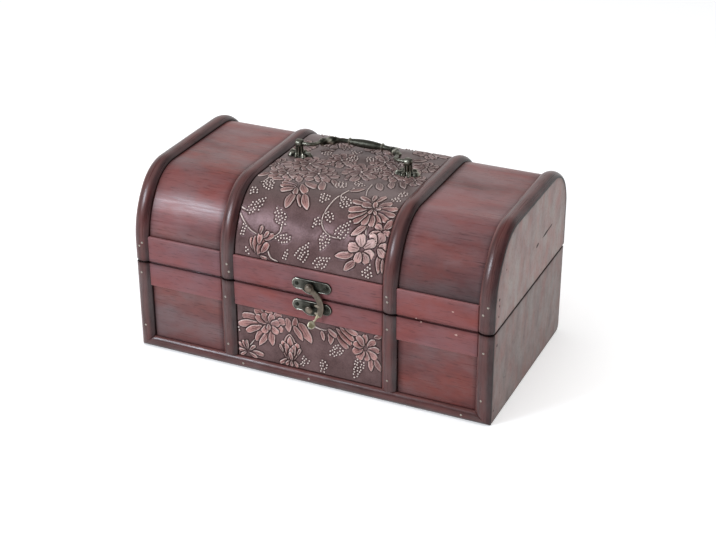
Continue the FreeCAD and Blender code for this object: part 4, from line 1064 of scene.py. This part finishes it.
def skinSlab(field, line, normal, sink):
    # the field laid on a profile: each point goes out along the normal by its height, and the borders curl
    # down; the underside is straight across, so one face a row closes it
    u, gap = field["u"], field["gap"]
    rows, cols = u.shape
    curl = skin["curl"] * (1 - ease(gap / skin["curlWidth"]))
    height = field["height"] * ease(gap / skin["flatten"]) - curl
    over = withX(u, line[:, None] + normal[:, None] * height[..., None])
    under = withX(u, np.broadcast_to((line - normal * sink)[:, None], (rows, cols, 2)))
    rim = gridBorder(rows, cols)
    low = rows * cols + np.arange(len(rim))
    wall = np.stack([rim, low, np.roll(low, -1), np.roll(rim, -1)], 1)
    right = low[cols - 1:cols + rows - 1]
    left = np.append(low[0], low[:-rows:-1])
    floor = np.stack([left[1:-2], left[2:-1], right[2:-1], right[1:-2]], 1)
    ends = [np.concatenate([left[1:2], right[1:2], low[cols - 1::-1]])[None],
            np.concatenate([left[-2:-1], low[2 * cols + rows - 3:cols + rows - 3:-1], right[-2:-1]])[None]]
    layers = {key: field[key] for key in embossLayers}
    layers["groove"] = np.maximum(layers["groove"], skin["groove"] * (1 - ease(gap / skin["grooveWidth"])))
    # a grey tone on the faces that look up: dust, and a painted sheen for the glancing view of the flat top
    upward = ease((normal[:, 1:] - skin["dustFrom"]) / (1 - skin["dustFrom"]))
    layers["dust"] = np.broadcast_to(skin["dust"] * upward, (rows, cols))
    return {"points": np.concatenate([over.reshape(-1, 3), under.reshape(-1, 3)[rim]]),
            "faces": [gridFaces(rows, cols), wall, floor, *ends],
            "layers": {key: np.append(value, np.ones(len(rim))) for key, value in layers.items()}}


fieldRun = skinStart + lidField["v"][:, 0]
lidLine, lidNormal = (atRun(fieldRun, skinRun, line) for line in (skinLine, skinNormal))
middleRow = len(fieldRun) // 2
for name, rows in (("front", slice(0, middleRow + 1)), ("back", slice(middleRow, None))):
    part = {key: value[rows] for key, value in lidField.items()}
    shell = skinSlab(part, lidLine[rows], lidNormal[rows], skinLift)
    piece(f"lid_leather_{name}", [shell], "lid", "embossed_leather", leather, "lid_leather_panel")

fieldHeight = baseLow[2] + baseField["v"][:, 0]
baseLine = np.stack([np.full_like(fieldHeight, baseLow[1]), fieldHeight], 1)
baseNormal = np.broadcast_to([-1.0, 0.0], baseLine.shape)
shell = skinSlab(baseField, baseLine, baseNormal, baseHigh[1] - baseLow[1])
piece("base_leather", [shell], "base", "embossed_leather", leather, "base_leather_panel")
print("leather ready:", lidField["u"].size + baseField["u"].size, "points")


# Latch

latch = {"tip": 13.2, "end": 10.4, "half": 3.8, "rise": 0.8, "waist": 5.6, "drop": 5.4, "edge": 0.3,
         "rim": 0.3, "rimInset": 0.5, "rimWidth": 0.32, "dish": 0.22, "dishWidth": 2.4, "pinPlace": 9.9,
         "rub": 0.12, "rimRub": 0.7, "leftRub": 0.28, "rivetDome": 1.45, "neck": 1.25, "rows": 141,
         "columns": 61}
plateFace, plateBack = extent("latch_plate", axisY)
plateX, latchX = (np.mean(extent(name, axisX)) for name in ("latch_plate", "latch_rivet"))
pivotZ, studZ = (np.mean(extent(name, axisZ)) for name in ("latch_rivet", "latch_stud"))
towardsFront = (0, -1, 0)


def platePiece(name, height, body):
    # a strip with round ends and a round bulge below, in rows across its length; inside is the depth past its
    # outline, which carries a raised bright rim, and the face is dished round the two pins; its left end is
    # painted lighter, a painted sheen
    endRadius = arcRadius(latch["half"], latch["tip"] - latch["end"])
    endX = latch["tip"] - endRadius
    bulgeDrop = latch["rise"] + latch["drop"]
    bulgeRadius = arcRadius(latch["waist"], bulgeDrop - latch["half"])
    s = np.sin(np.linspace(-quarterTurn, quarterTurn, latch["rows"]))[:, None] * (latch["tip"] - 0.01)
    t = np.sin(np.linspace(-quarterTurn, quarterTurn, latch["columns"]))
    fromStud = s + plateX - latchX
    roundEnd = np.sqrt(np.clip(endRadius ** 2 - (np.abs(s) - endX) ** 2, 0, None))
    half = np.where(np.abs(s) > latch["end"], roundEnd, latch["half"])
    bulge = bulgeDrop - bulgeRadius + np.sqrt(np.clip(bulgeRadius ** 2 - fromStud ** 2, 0, None))
    under = np.where(np.abs(fromStud) < latch["waist"], bulge, half)
    z = (half - under) / 2 + (half + under) / 2 * t
    x = np.broadcast_to(s, z.shape)
    pastEnd = np.clip(np.abs(x) - endX, 0, None)
    inStrip = np.minimum(latch["half"] - np.abs(z), endRadius - np.hypot(pastEnd, z))
    inBulge = np.minimum(latch["half"] - z, bulgeRadius - np.hypot(fromStud, z - bulgeRadius + bulgeDrop))
    inside = np.maximum(inStrip, inBulge)
    rim = bell(inside - latch["rimInset"], latch["rimWidth"])
    dish = bell(np.hypot(np.abs(x) - latch["pinPlace"], z), latch["dishWidth"])
    y = plateFace - latch["rim"] * rim + latch["dish"] * dish + roundDrop(inside, latch["edge"])
    middle = height + latch["rise"]
    over = np.stack([plateX + x, y, middle + z], 2)
    back = np.stack([plateX + x, np.full_like(y, plateBack), middle + z], 2)
    patchy = 0.65 + 0.35 * np.sin(0.55 * x + 0.5 * z)
    rub = latch["rub"] + latch["rimRub"] * rim ** 2 * patchy + latch["leftRub"] * ease((-x - 5) / 4)
    piece(f"{name}_casting", [slab(over, back, rub=rub)], body, "antique_bronze", plateBronze, name)


platePiece("latch_plate", pivotZ, "lid")
platePiece("latch_keeper_plate", studZ, "base")


def domeHead(centre, axis, radius, height, seat):
    # a round head on a neck: neck up to the seat, then a low dome with a rounded brim, rubbed on its top
    turn = np.linspace(0, quarterTurn, 9)[1:]
    neck = latch["neck"]
    brim = seat + 0.15 * height
    radii = np.append([neck, neck, radius * 0.9, radius], radius * np.cos(turn) ** 0.8)
    lifts = np.append([0, seat, seat, brim], brim + 0.85 * height * np.sin(turn))
    rub = 0.1 + 0.4 * (lifts / lifts.max())[:, None] ** 2
    return tube(spun(centre, axis, np.clip(radii, 0.02, None), lifts), rub=rub)


headSeat = plateFace - extent("latch_rivet", axisY)[0] - latch["rivetDome"]
for name, height, body in (("latch_rivet", pivotZ, "lid"), ("latch_stud", studZ, "base")):
    low, high = span(name)
    centre = np.array([latchX, plateFace, height])
    head = domeHead(centre, towardsFront, (high[0] - low[0]) / 2, plateFace - low[1] - headSeat, headSeat)
    piece(f"{name}_casting", [head], body, "antique_bronze", hookBronze, name)

# the hook, in mm from its pivot across and up; a jaw is its height and the place of its root
hook = {"reach": 9.4, "arm": 4.1, "belly": -11.2, "boss": 2.9, "bossMiddle": 0.6, "footOut": (7.4, -18.7),
        "footIn": (4.4, -16.8), "back": 0.9, "thickness": 1.4, "soft": 0.3, "jawTip": 3.1,
        "jaws": ((-11.0, 6.8), (-16.2, 6.0)), "jawHalf": 0.95, "tab": (2.3, -24.3), "tailRoot": (0.3, 0.9),
        "flare": 5.6, "armRun": 30, "armSoft": 2.0, "armSteps": 48, "jawSteps": 12, "tailSteps": 40,
        "armRub": 0.3, "edgeRub": 0.5, "bossRub": 0.35, "jawRub": 0.6}
halfThick = hook["thickness"] / 2
hookMiddle = plateFace - hook["back"] - halfThick
sectionTurn = roundTurns(24)


def arcThrough(a, b, c, count):
    # points on the circle through three points, from the first to the last
    a, b, c = (np.array(p, float) for p in (a, b, c))
    centre = np.linalg.solve(2 * np.array([b - a, c - a]), [b @ b - a @ a, c @ c - a @ a])
    turns = np.unwrap([math.atan2(*(p - centre)[::-1]) for p in (a, b, c)])
    return centre + np.linalg.norm(a - centre) * circle(np.linspace(turns[0], turns[2], count))


def ovalRings(middle, side, half, depth, halfDepth):
    # cross-sections along a flat line, across by half the width along side and in depth by half the depth;
    # the roots of cosine and sine fill them out towards a rectangle
    across, deep = (np.sign(wave) * np.abs(wave) ** 0.5 for wave in circle(sectionTurn).T)
    flat = middle[:, None] + side[:, None] * (half[:, None] * across)[..., None]
    depth, halfDepth = (np.broadcast_to(part, len(middle))[:, None] for part in (depth, halfDepth))
    return np.stack([latchX + flat[..., 0], depth + halfDepth * deep, pivotZ + flat[..., 1]], 2)


def hookArm():
    # the arm between an outer and an inner arc, drawn in at both ends and rubbed on its outer edge
    steps = hook["armSteps"]
    insideReach = hook["reach"] - hook["arm"]
    outer = arcThrough((hook["boss"] * 0.8, 0), (hook["reach"], hook["belly"]), hook["footOut"], steps)
    inner = arcThrough((0, -hook["boss"] * 0.95), (insideReach, hook["belly"]), hook["footIn"], steps)
    wide = outer - inner
    half = np.linalg.norm(wide, axis=1) / 2
    drawnIn = half * endSize(np.linspace(0, hook["armRun"], steps), hook["armSoft"])
    rings = ovalRings((outer + inner) / 2, wide / (2 * half[:, None]), drawnIn, hookMiddle, halfThick)
    outerEdge = np.clip(np.cos(sectionTurn), 0, 1) ** 4
    return tube(rings, rub=hook["armRub"] + hook["edgeRub"] * outerEdge)


def hookBoss():
    # a disc with rounded edges round the rivet
    soft = hook["soft"] * np.sin(edgeTurn)
    brim = hook["boss"] - hook["soft"] + soft
    under, over = hook["soft"] - soft[::-1], hook["thickness"] - hook["soft"] + soft
    radii = np.concatenate([[hook["bossMiddle"]], brim, brim[::-1], [hook["bossMiddle"]]])
    heights = np.concatenate([[0], under, over, [hook["thickness"]]])
    rings = spun((latchX, plateFace - hook["back"], pivotZ), towardsFront, radii, heights)
    return tube(rings, rub=hook["bossRub"])


def hookJaw(height, root):
    # a jaw that narrows from the arm to its rounded tip: by the root of 1 - share^3 across, and of
    # 1 - share^4 in depth
    share = np.linspace(0, 1, hook["jawSteps"])
    line = np.stack([blendTo(root, hook["jawTip"], share), np.full(len(share), height)], 1)
    half = hook["jawHalf"] * np.sqrt(np.clip(1.04 - share ** 3, 0.02, 1))
    halfDepth = halfThick * np.sqrt(np.clip(1.04 - share ** 4, 0.05, 1))
    upward = np.tile([0.0, 1.0], (len(share), 1))
    return tube(ovalRings(line, upward, half, hookMiddle, halfDepth), rub=hook["jawRub"])


def hookTail():
    # the tail narrows from the foot of the arm, sweeps down to the left and out to the front, and widens to a
    # round tab with a dull middle in a bright rim
    share = np.linspace(0, 1, hook["tailSteps"])
    foot = np.add(hook["footOut"], hook["footIn"]) / 2 + hook["tailRoot"]
    sweep = np.stack([share ** 1.05, 0.5 * share + 0.5 * share ** 1.5], 1)
    line = blendTo(foot, np.array(hook["tab"]), sweep)
    neck = 1.5 - 0.95 * ease(share / 0.4)
    tab = 0.55 + 1.85 * ease((share - 0.55) / 0.2)
    roundTip = np.sqrt(np.clip(1.01 - np.clip((share - 0.76) / 0.24, 0, 1) ** 2, 0.01, 1))
    depth = hookMiddle - hook["flare"] * share ** 1.4
    half = np.where(share < 0.6, neck, tab) * roundTip
    rings = ovalRings(line, squareTo(line), half, depth, 0.62 - 0.2 * share)
    share = share[:, None]
    rim = np.maximum(np.cos(sectionTurn) ** 2, ease((share - 0.9) / 0.06))
    return tube(rings, rub=blendTo(0.35 + 0.35 * share, 0.02 + 0.9 * rim, ease((share - 0.66) / 0.1)))


armShells = [hookArm(), hookBoss(), *(hookJaw(*jaw) for jaw in hook["jaws"])]
piece("latch_hook_arm", armShells, "hook", "antique_bronze", hookBronze, "latch_hook")
piece("latch_hook_tab", [hookTail()], "hook", "antique_bronze", tabBrass, "latch_hook")
print("latch ready")


# Bail handle; leaf: where the leafy casting runs, from the middle of the grip

handle = {"place": -2.1, "setback": 6.3, "spacing": 74.5, "rise": 8.4, "reach": 20.0, "wire": 1.25,
          "endArc": 4.5, "gripStraight": 10.5, "gripHalf": 12.2, "gripRadius": 2.75, "collar": 2.5,
          "collarInset": 0.8, "earHalf": 2.2, "inset": 3.3, "restGap": 3.5, "leaf": (19.0, 32.5), "step": 0.3}
eyeZ = skinTop + handle["rise"]


def bailLine():
    # half the bail in its own plane, from the middle of the grip to its end in the eye: straight, arc, arc,
    # straight; given with its run
    turnStart = handle["spacing"] / 2 - handle["earHalf"] - handle["inset"]
    bendRun = turnStart - handle["gripStraight"]
    reach, endArc = handle["reach"], handle["endArc"]
    sideArc = (bendRun ** 2 + reach ** 2 - 2 * endArc * reach) / (2 * reach)
    sideCentre = np.array([handle["gripStraight"], reach - sideArc])
    endCentre = np.array([turnStart, endArc])
    meeting = math.atan2(endCentre[1] - sideCentre[1], bendRun)
    line = np.concatenate([
        [[0, reach]],
        sideCentre + sideArc * circle(np.linspace(quarterTurn, meeting, 40)),
        endCentre + endArc * circle(np.linspace(math.pi + meeting, 3 * quarterTurn, 16)[1:]),
        [[handle["spacing"] / 2 + handle["earHalf"] + 0.5, 0]]])
    run = runAlong(line)
    places = np.linspace(0, run[-1], round(run[-1] / handle["step"]) + 1)
    return atRun(places, run, line), places


def bailRadius(run):
    # a barrel grip between two collars, then a leafy casting that swells and ends in a thin plain rod
    gripEnd = handle["gripHalf"] - 2 * handle["collarInset"]
    barrel = handle["gripRadius"] - 0.9 * (run / gripEnd) ** 2
    fromCollar = run - handle["gripHalf"] + handle["collarInset"]
    collar = handle["collar"] * np.sqrt(np.clip(1 - (fromCollar / 1.1) ** 2, 0, 1))
    start, end = handle["leaf"]
    swell = ease((run - start + 1.5) / 4) * ease((end - run) / 3)
    leafy = handle["wire"] + 0.25 * ease((end - run) / 2) + 1.0 * swell
    return np.where(run < gripEnd, np.maximum(barrel, collar), np.maximum(leafy, collar))


def bailShell():
    # round sections along the bail, leaning as it rests; the leaves are three waves along and round it,
    # rubbed where they stand out, as are the collars and the plain rods
    lean = math.asin((handle["rise"] - handle["gripRadius"] - handle["restGap"]) / handle["reach"])
    halfLine, halfRun = bailLine()
    line = np.concatenate([halfLine[:0:-1] * (-1, 1), halfLine])
    side = squareTo(line)
    run = np.concatenate([halfRun[:0:-1], halfRun])[:, None]
    turn = roundTurns(32)
    start, end = handle["leaf"]
    leafZone = ease((run - start) / 1.5) * ease((end - run) / 1.5)
    leaves = (0.1 * np.cos(2 * turn + 0.5 * run) + 0.11 * np.cos(run * 0.8 + 2.2 * np.cos(turn + 0.6))
              + 0.06 * np.cos(5 * turn - 1.3 * run))
    lobes = leafZone * leaves
    radius = bailRadius(run) * (1 + lobes)
    radius[[0, -1]] *= 0.6
    flat = line[:, None] + side[:, None] * (radius * np.cos(turn))[..., None]
    lift = radius * np.sin(turn)
    rings = np.stack([
        handle["place"] + flat[..., 0],
        handle["setback"] + flat[..., 1] * math.cos(lean) + lift * math.sin(lean),
        eyeZ - flat[..., 1] * math.sin(lean) + lift * math.cos(lean)], 2)
    collarRub = 0.6 * bell(run - handle["gripHalf"] + handle["collarInset"], 0.9)
    rodRub = 0.3 * ease((run - end) / 2)
    return tube(rings, rub=np.clip(0.22 + 2.4 * lobes + 0.2 * leafZone + collarRub + rodRub, 0, 1))


piece("handle_bail_casting", [bailShell()], "bail", "antique_bronze", bronze, "handle_bail")

foot = {"long": 8.4, "wide": 5.2, "lobes": 7, "curls": 16, "height": 1.8, "sink": 0.3, "neck": 3.3,
        "flutes": 8, "fluteDepth": 0.14, "neckFlat": 0.8, "eye": 2.05, "eyeWire": 0.6,
        "leafTurns": 120, "neckTurns": 64, "eyeTurns": 36, "wireTurns": 16}


def leafRosette(way):
    # a ragged leaf: an ellipse with waves on its rim, deep veins and curls between them
    turn = roundTurns(foot["leafTurns"])
    ellipse = 1 / np.sqrt((np.cos(turn) / foot["long"]) ** 2 + (np.sin(turn) / foot["wide"]) ** 2)
    lobe = np.cos(foot["lobes"] * turn + way)
    edge = ellipse * (0.94 + 0.1 * lobe + 0.05 * np.cos(foot["curls"] * turn))
    share = np.append(np.linspace(0.04, 0.9, 18), [0.95, 0.985, 1.0])[:, None]
    vein = lobe * ease((share - 0.3) / 0.25)
    curl = 0.5 * np.cos(foot["curls"] * turn + 9 * share) * ease((share - 0.4) / 0.2)
    height = foot["height"] + 0.7 * vein + 0.4 * curl + 0.8 * (1 - share) - 1.5 * ease((share - 0.84) / 0.16)
    top = np.stack([share * edge * np.cos(turn), share * edge * np.sin(turn), height], 2)
    bottom = top[::-1] * (1, 1, 0) - (0, 0, foot["sink"])
    rub = np.clip(0.35 + 0.45 * vein + 0.6 * curl, 0, 1)
    return np.concatenate([top, bottom]), np.concatenate([rub, 0 * rub])


def handleFoot(name, way):
    # a leaf rosette; above it a fluted neck, flattened along X, and a round eye
    centre = np.array([handle["place"] + way * handle["spacing"] / 2, handle["setback"], skinTop])
    rosette, rub = leafRosette(way)
    neckHeight = np.linspace(0.8, handle["rise"] - 1.6, 12)
    neckRadius = foot["neck"] - 0.5 * ease(neckHeight / 4) + 0.5 * bell(neckHeight - 1.4, 0.7)
    neck = spun(centre, (0, 0, 1), neckRadius, neckHeight, foot["neckTurns"], foot["flutes"],
                foot["fluteDepth"])
    neck[..., 0] = blendTo(centre[0], neck[..., 0], foot["neckFlat"])
    flute = 0.5 + 0.5 * np.cos(foot["flutes"] * roundTurns(foot["neckTurns"]))
    around = roundTurns(foot["eyeTurns"])[:, None]
    section = roundTurns(foot["wireTurns"])
    ringRadius = foot["eye"] + foot["eyeWire"] * np.cos(section)
    forward, up = ringRadius * np.cos(around), ringRadius * np.sin(around)
    across = np.broadcast_to(handle["earHalf"] * np.sin(section), up.shape)
    eye = np.stack([across, forward, handle["rise"] + up], 2)
    shells = [tube(centre + rosette, rub=rub), tube(neck, rub=0.05 + 0.75 * flute ** 2),
              loop(centre + eye, rub=0.3 + 0.3 * np.abs(np.cos(section)))]
    piece(f"{name}_casting", shells, "lid", "antique_bronze", bronze, name)


handleFoot("handle_foot_left", -1)
handleFoot("handle_foot_right", 1)
print("handle ready")


# Nails, marks, and finishes for the CAD pieces that keep their shape

nail = {"radius": 0.75, "height": 0.35, "sink": 0.06, "root": 0.3, "tip": 0.05, "turns": 12, "rub": 0.5,
        "step": 1.0,
        "lid": (((1.0, 12.9), (-1.1, 10.5)), ((0.7, 10.5), (1.9, 5.4)),      # across and up each rib
                ((-1.4, 11.0), (-0.9, 7.6)), ((1.3, 17.3), (-1.4, 12.3))),
        "base": (((-0.9, 7.1), (-0.7, 45)), ((-1.2, 11.6), (-0.7, 45)),      # across, and down from the split
                 ((-0.9, 9.6), (-0.7, 45)), ((-0.4, 11.6), (-0.9, 44.1))),
        "moulding": (-45, 1, 102)}
ribRadius = arcRadius(ribHalf, ribCrown - rib["shoulder"])


def nailHead(place, axis):
    # a low dome, a quarter ellipse spun about its axis, on a root sunk into the wood
    radii = np.concatenate([[nail["radius"]], nail["radius"] * np.cos(edgeTurn[:-1]), [nail["tip"]]])
    heights = np.append(-nail["root"], nail["height"] * np.sin(edgeTurn))
    return tube(spun(place, axis, radii, heights, nail["turns"]), rub=nail["rub"])


def ribNail(centre, across, under, out):
    # a nail square to the half round of a rib at a place across it; under is the point of the profile below
    # it and out the normal there, in Y and Z
    lean = math.asin(across / ribRadius)
    height = ribCrown - ribRadius * (1 - math.cos(lean)) - nail["sink"]
    return nailHead((centre + across, *np.add(under, np.multiply(out, height))),
                    (math.sin(lean), *np.multiply(out, math.cos(lean))))


lidNails, baseNails = [], []
nailLine, nailNormal, nailRun = domePath(0, nail["step"])
for centre, lidPair, basePair in zip(ribCentres, nail["lid"], nail["base"]):
    for across, up in lidPair:
        under, out = (atRun([up], nailRun, line)[0] for line in (nailLine, nailNormal))
        lidNails.append(ribNail(centre, across, under, out))
    for across, down in basePair:
        baseNails.append(ribNail(centre, across, (frontFace, splitLine - down), (-1, 0)))
for x in nail["moulding"]:
    baseNails.append(nailHead((x, frontFace - ribCrown + nail["sink"], mouldHeight / 2), towardsFront))

# filled pin holes along the ends, two scratches on the lid end, and chips on the bands: place and size in mm
marks = {"proud": 0.04, "sunk": 0.2,
         "holes": ((-58.3, 81.3, 1.1), (-57.8, 77.0, 0.9), (-58.4, 70.2, 0.7), (-59.4, 51.8, 1.1),
                   (-60.8, 7.9, 0.8), (-48, 96, 0.6), (-44, 22, 0.5)),
         "scratches": ((17.8, 87.0, 37.0, 88.5, 1.0), (6.4, 85.6, 10.6, 86.8, 1.4)),
         "chips": ((94.7, 71.8, 0.7), (97.0, 57.0, 0.95), (74.9, 60.6, 0.5), (71.8, 62.4, 0.5)),
         "chipFlat": 0.8}
bandFace = extent("lid_band_right", axisY)[0]


def patchShell(face, axis, side, start, stop, half):
    # a lens between two places on a flat face that looks to one side of an axis, a little proud of it: its
    # half width is the sine along it to the power 0.6, made uneven by a faster sine
    share = np.linspace(0.03, 0.97, 13)[:, None]
    start, stop = np.array(start, float), np.array(stop, float)
    way = (stop - start) / np.linalg.norm(stop - start)
    width = half * np.sin(math.pi * share) ** 0.6 * (0.75 + 0.25 * np.sin(9 * share + start[0]))
    across = np.array([-way[1], way[0]]) * width
    middle = start + (stop - start) * share
    flat = np.stack([middle - across, middle, middle + across], 1)
    return slab(*[np.insert(flat, axis, face + rise * side, axis=2)
                  for rise in (marks["proud"], -marks["sunk"])])


for body, above in (("lid", True), ("base", False)):
    shells = [patchShell(halfWidth, axisX, 1, (y - size, z), (y + size, z), size)
              for y, z, size in marks["holes"] if (z > lidFoot) == above]
    if above:
        shells += [patchShell(halfWidth, axisX, 1, (y0, z0), (y1, z1), size)
                   for y0, z0, y1, z1, size in marks["scratches"]]
    piece(f"{body}_end_marks", shells, body, "end_wood", fillerWood)
for body, above in (("lid", True), ("base", False)):
    shells = [patchShell(bandFace, axisY, -1, (x - size, z), (x + size, z), size * marks["chipFlat"])
              for x, z, size in marks["chips"] if (z > lidFoot) == above]
    piece(f"{body}_band_chips", shells, body, "panel_wood", bareWood)
piece("lid_rib_nails", lidNails, "lid", "antique_bronze", nailSteel)
piece("base_rib_nails", baseNails, "base", "antique_bronze", nailSteel)

for name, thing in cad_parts.items():
    if name.startswith(("hinge", "latch_plate_pins", "latch_keeper_pins", "handle_foot_pins")):
        thing.data.materials.clear()
        thing.data.materials.append(plateBronze if name.startswith("latch") else bronze)
print("nails and fittings ready")


# Stage, light and camera

stage = {"size": 8.0, "below": 0.0003, "glow": 0.35, "tone": "#f4f4f4"}       # size and below in m
floorMaterial, tree, shader = newMaterial("pale_studio_floor")
rays = addNode(tree, "LightPath").outputs
seen = rays["Is Camera Ray"]
for kind in ("Is Glossy Ray", "Is Transmission Ray"):
    seen = addNode(tree, "Math", {0: seen, 1: rays[kind]}, operation="ADD", use_clamp=True).outputs[0]
glow = addNode(tree, "Math", {0: seen, 1: stage["glow"]}, operation="MULTIPLY").outputs[0]
fill(tree, shader, {"Base Color": linear(stage["tone"]), "Roughness": 1.0, "Specular IOR Level": 0.0,
                    "Emission Color": (1, 1, 1, 1), "Emission Strength": glow})
corners = [(x * stage["size"], y * stage["size"], -stage["below"])
           for x, y in ((-1, -1), (1, -1), (1, 1), (-1, 1))]
floorMesh = bpy.data.meshes.new("floor")
floorMesh.from_pydata(corners, [], [(0, 1, 2, 3)])
floorMesh.materials.append(floorMaterial)
floor = bpy.data.objects.new("floor", floorMesh)
bpy.context.scene.collection.objects.link(floor)

# the room is grey and darker above, by place on the ramp and level; a white backdrop stands behind the
# chest, and the room is dim in front
room = {"horizon": (0.42, 0.56), "zenith": (0.78, 0.2), "front": 0.42, "back": 1.7,
        "towardsBack": (-0.15, 0.99, 0.0), "turnsOver": (-0.7, 0.7)}
world = bpy.data.worlds.new("soft_room")
world.use_nodes = True
bpy.context.scene.world = world
sky = world.node_tree
direction = addNode(sky, "TexCoord").outputs["Generated"]
upward = addNode(sky, "SeparateXYZ", {0: direction}).outputs["Z"]
grey = addNode(sky, "ValToRGB", {"Fac": upward}, stops=[
    (place, (level, level, level, 1)) for place, level in (room["horizon"], room["zenith"])]).outputs[0]
toBack = addNode(sky, "VectorMath", {
    0: direction, 1: room["towardsBack"]}, operation="DOT_PRODUCT").outputs["Value"]
strength = addNode(sky, "MapRange", dict(zip(rangeSockets, (
    toBack, *room["turnsOver"], room["front"], room["back"])))).outputs[0]
fill(sky, sky.nodes["Background"], {"Color": grey, "Strength": strength})

# places and sizes in m, power in watts; the fill light isn't seen in the gloss
keyLight = {"place": (-0.78, -1.06, 0.76), "aim": (-0.05, 0, 0.1), "size": (0.42, 0.34), "power": 12.0,
            "tone": "#eaf3ff", "inGloss": True}
fillLight = {"place": (0.1, -0.3, 1.5), "aim": (0, 0, 0), "size": (1.4, 1.4), "power": 14.0,
             "tone": "#ffffff", "inGloss": False}


def softLight(name, light):
    # a rectangular lamp at its place, turned about Z and then tilted so that it faces its aim
    lamp = bpy.data.lights.new(name, "AREA")
    lamp.shape = "RECTANGLE"
    lamp.size, lamp.size_y = light["size"]
    lamp.energy = light["power"]
    lamp.color = linear(light["tone"])[:3]
    way = np.subtract(light["aim"], light["place"])
    yaw = math.atan2(-way[0], way[1])
    pitch = math.atan2(way[2], math.hypot(way[0], way[1]))
    turned = Matrix.Rotation(yaw, 4, "Z") @ Matrix.Rotation(quarterTurn + pitch, 4, "X")
    thing = bpy.data.objects.new(name, lamp)
    thing.matrix_world = Matrix.Translation(light["place"]) @ turned
    thing.visible_glossy = light["inGloss"]
    bpy.context.scene.collection.objects.link(thing)


softLight("key_front_left", keyLight)
softLight("fill_above", fillLight)

view = {"place": (373.6, -805.4, 504.4), "yaw": 24.654, "pitch": 27.203, "roll": -0.21, "lens": 78.12,
        "sensor": 36.0, "clipEnd": 30.0}                                     # place in mm, turns in degrees
camera = bpy.data.objects.new("camera", bpy.data.cameras.new("camera"))
camera.data.sensor_width = view["sensor"]
camera.data.lens = view["lens"]
camera.data.clip_end = view["clipEnd"]
turned = Matrix.Translation([amount * mm for amount in view["place"]])
for angle, axis in ((view["yaw"], "Z"), (90 - view["pitch"], "X"), (view["roll"], "Z")):
    turned = turned @ Matrix.Rotation(math.radians(angle), 4, axis)
camera.matrix_world = turned
bpy.context.scene.collection.objects.link(camera)
bpy.context.scene.camera = camera
bpy.context.scene.view_settings.view_transform = "Standard"
print("stage ready")
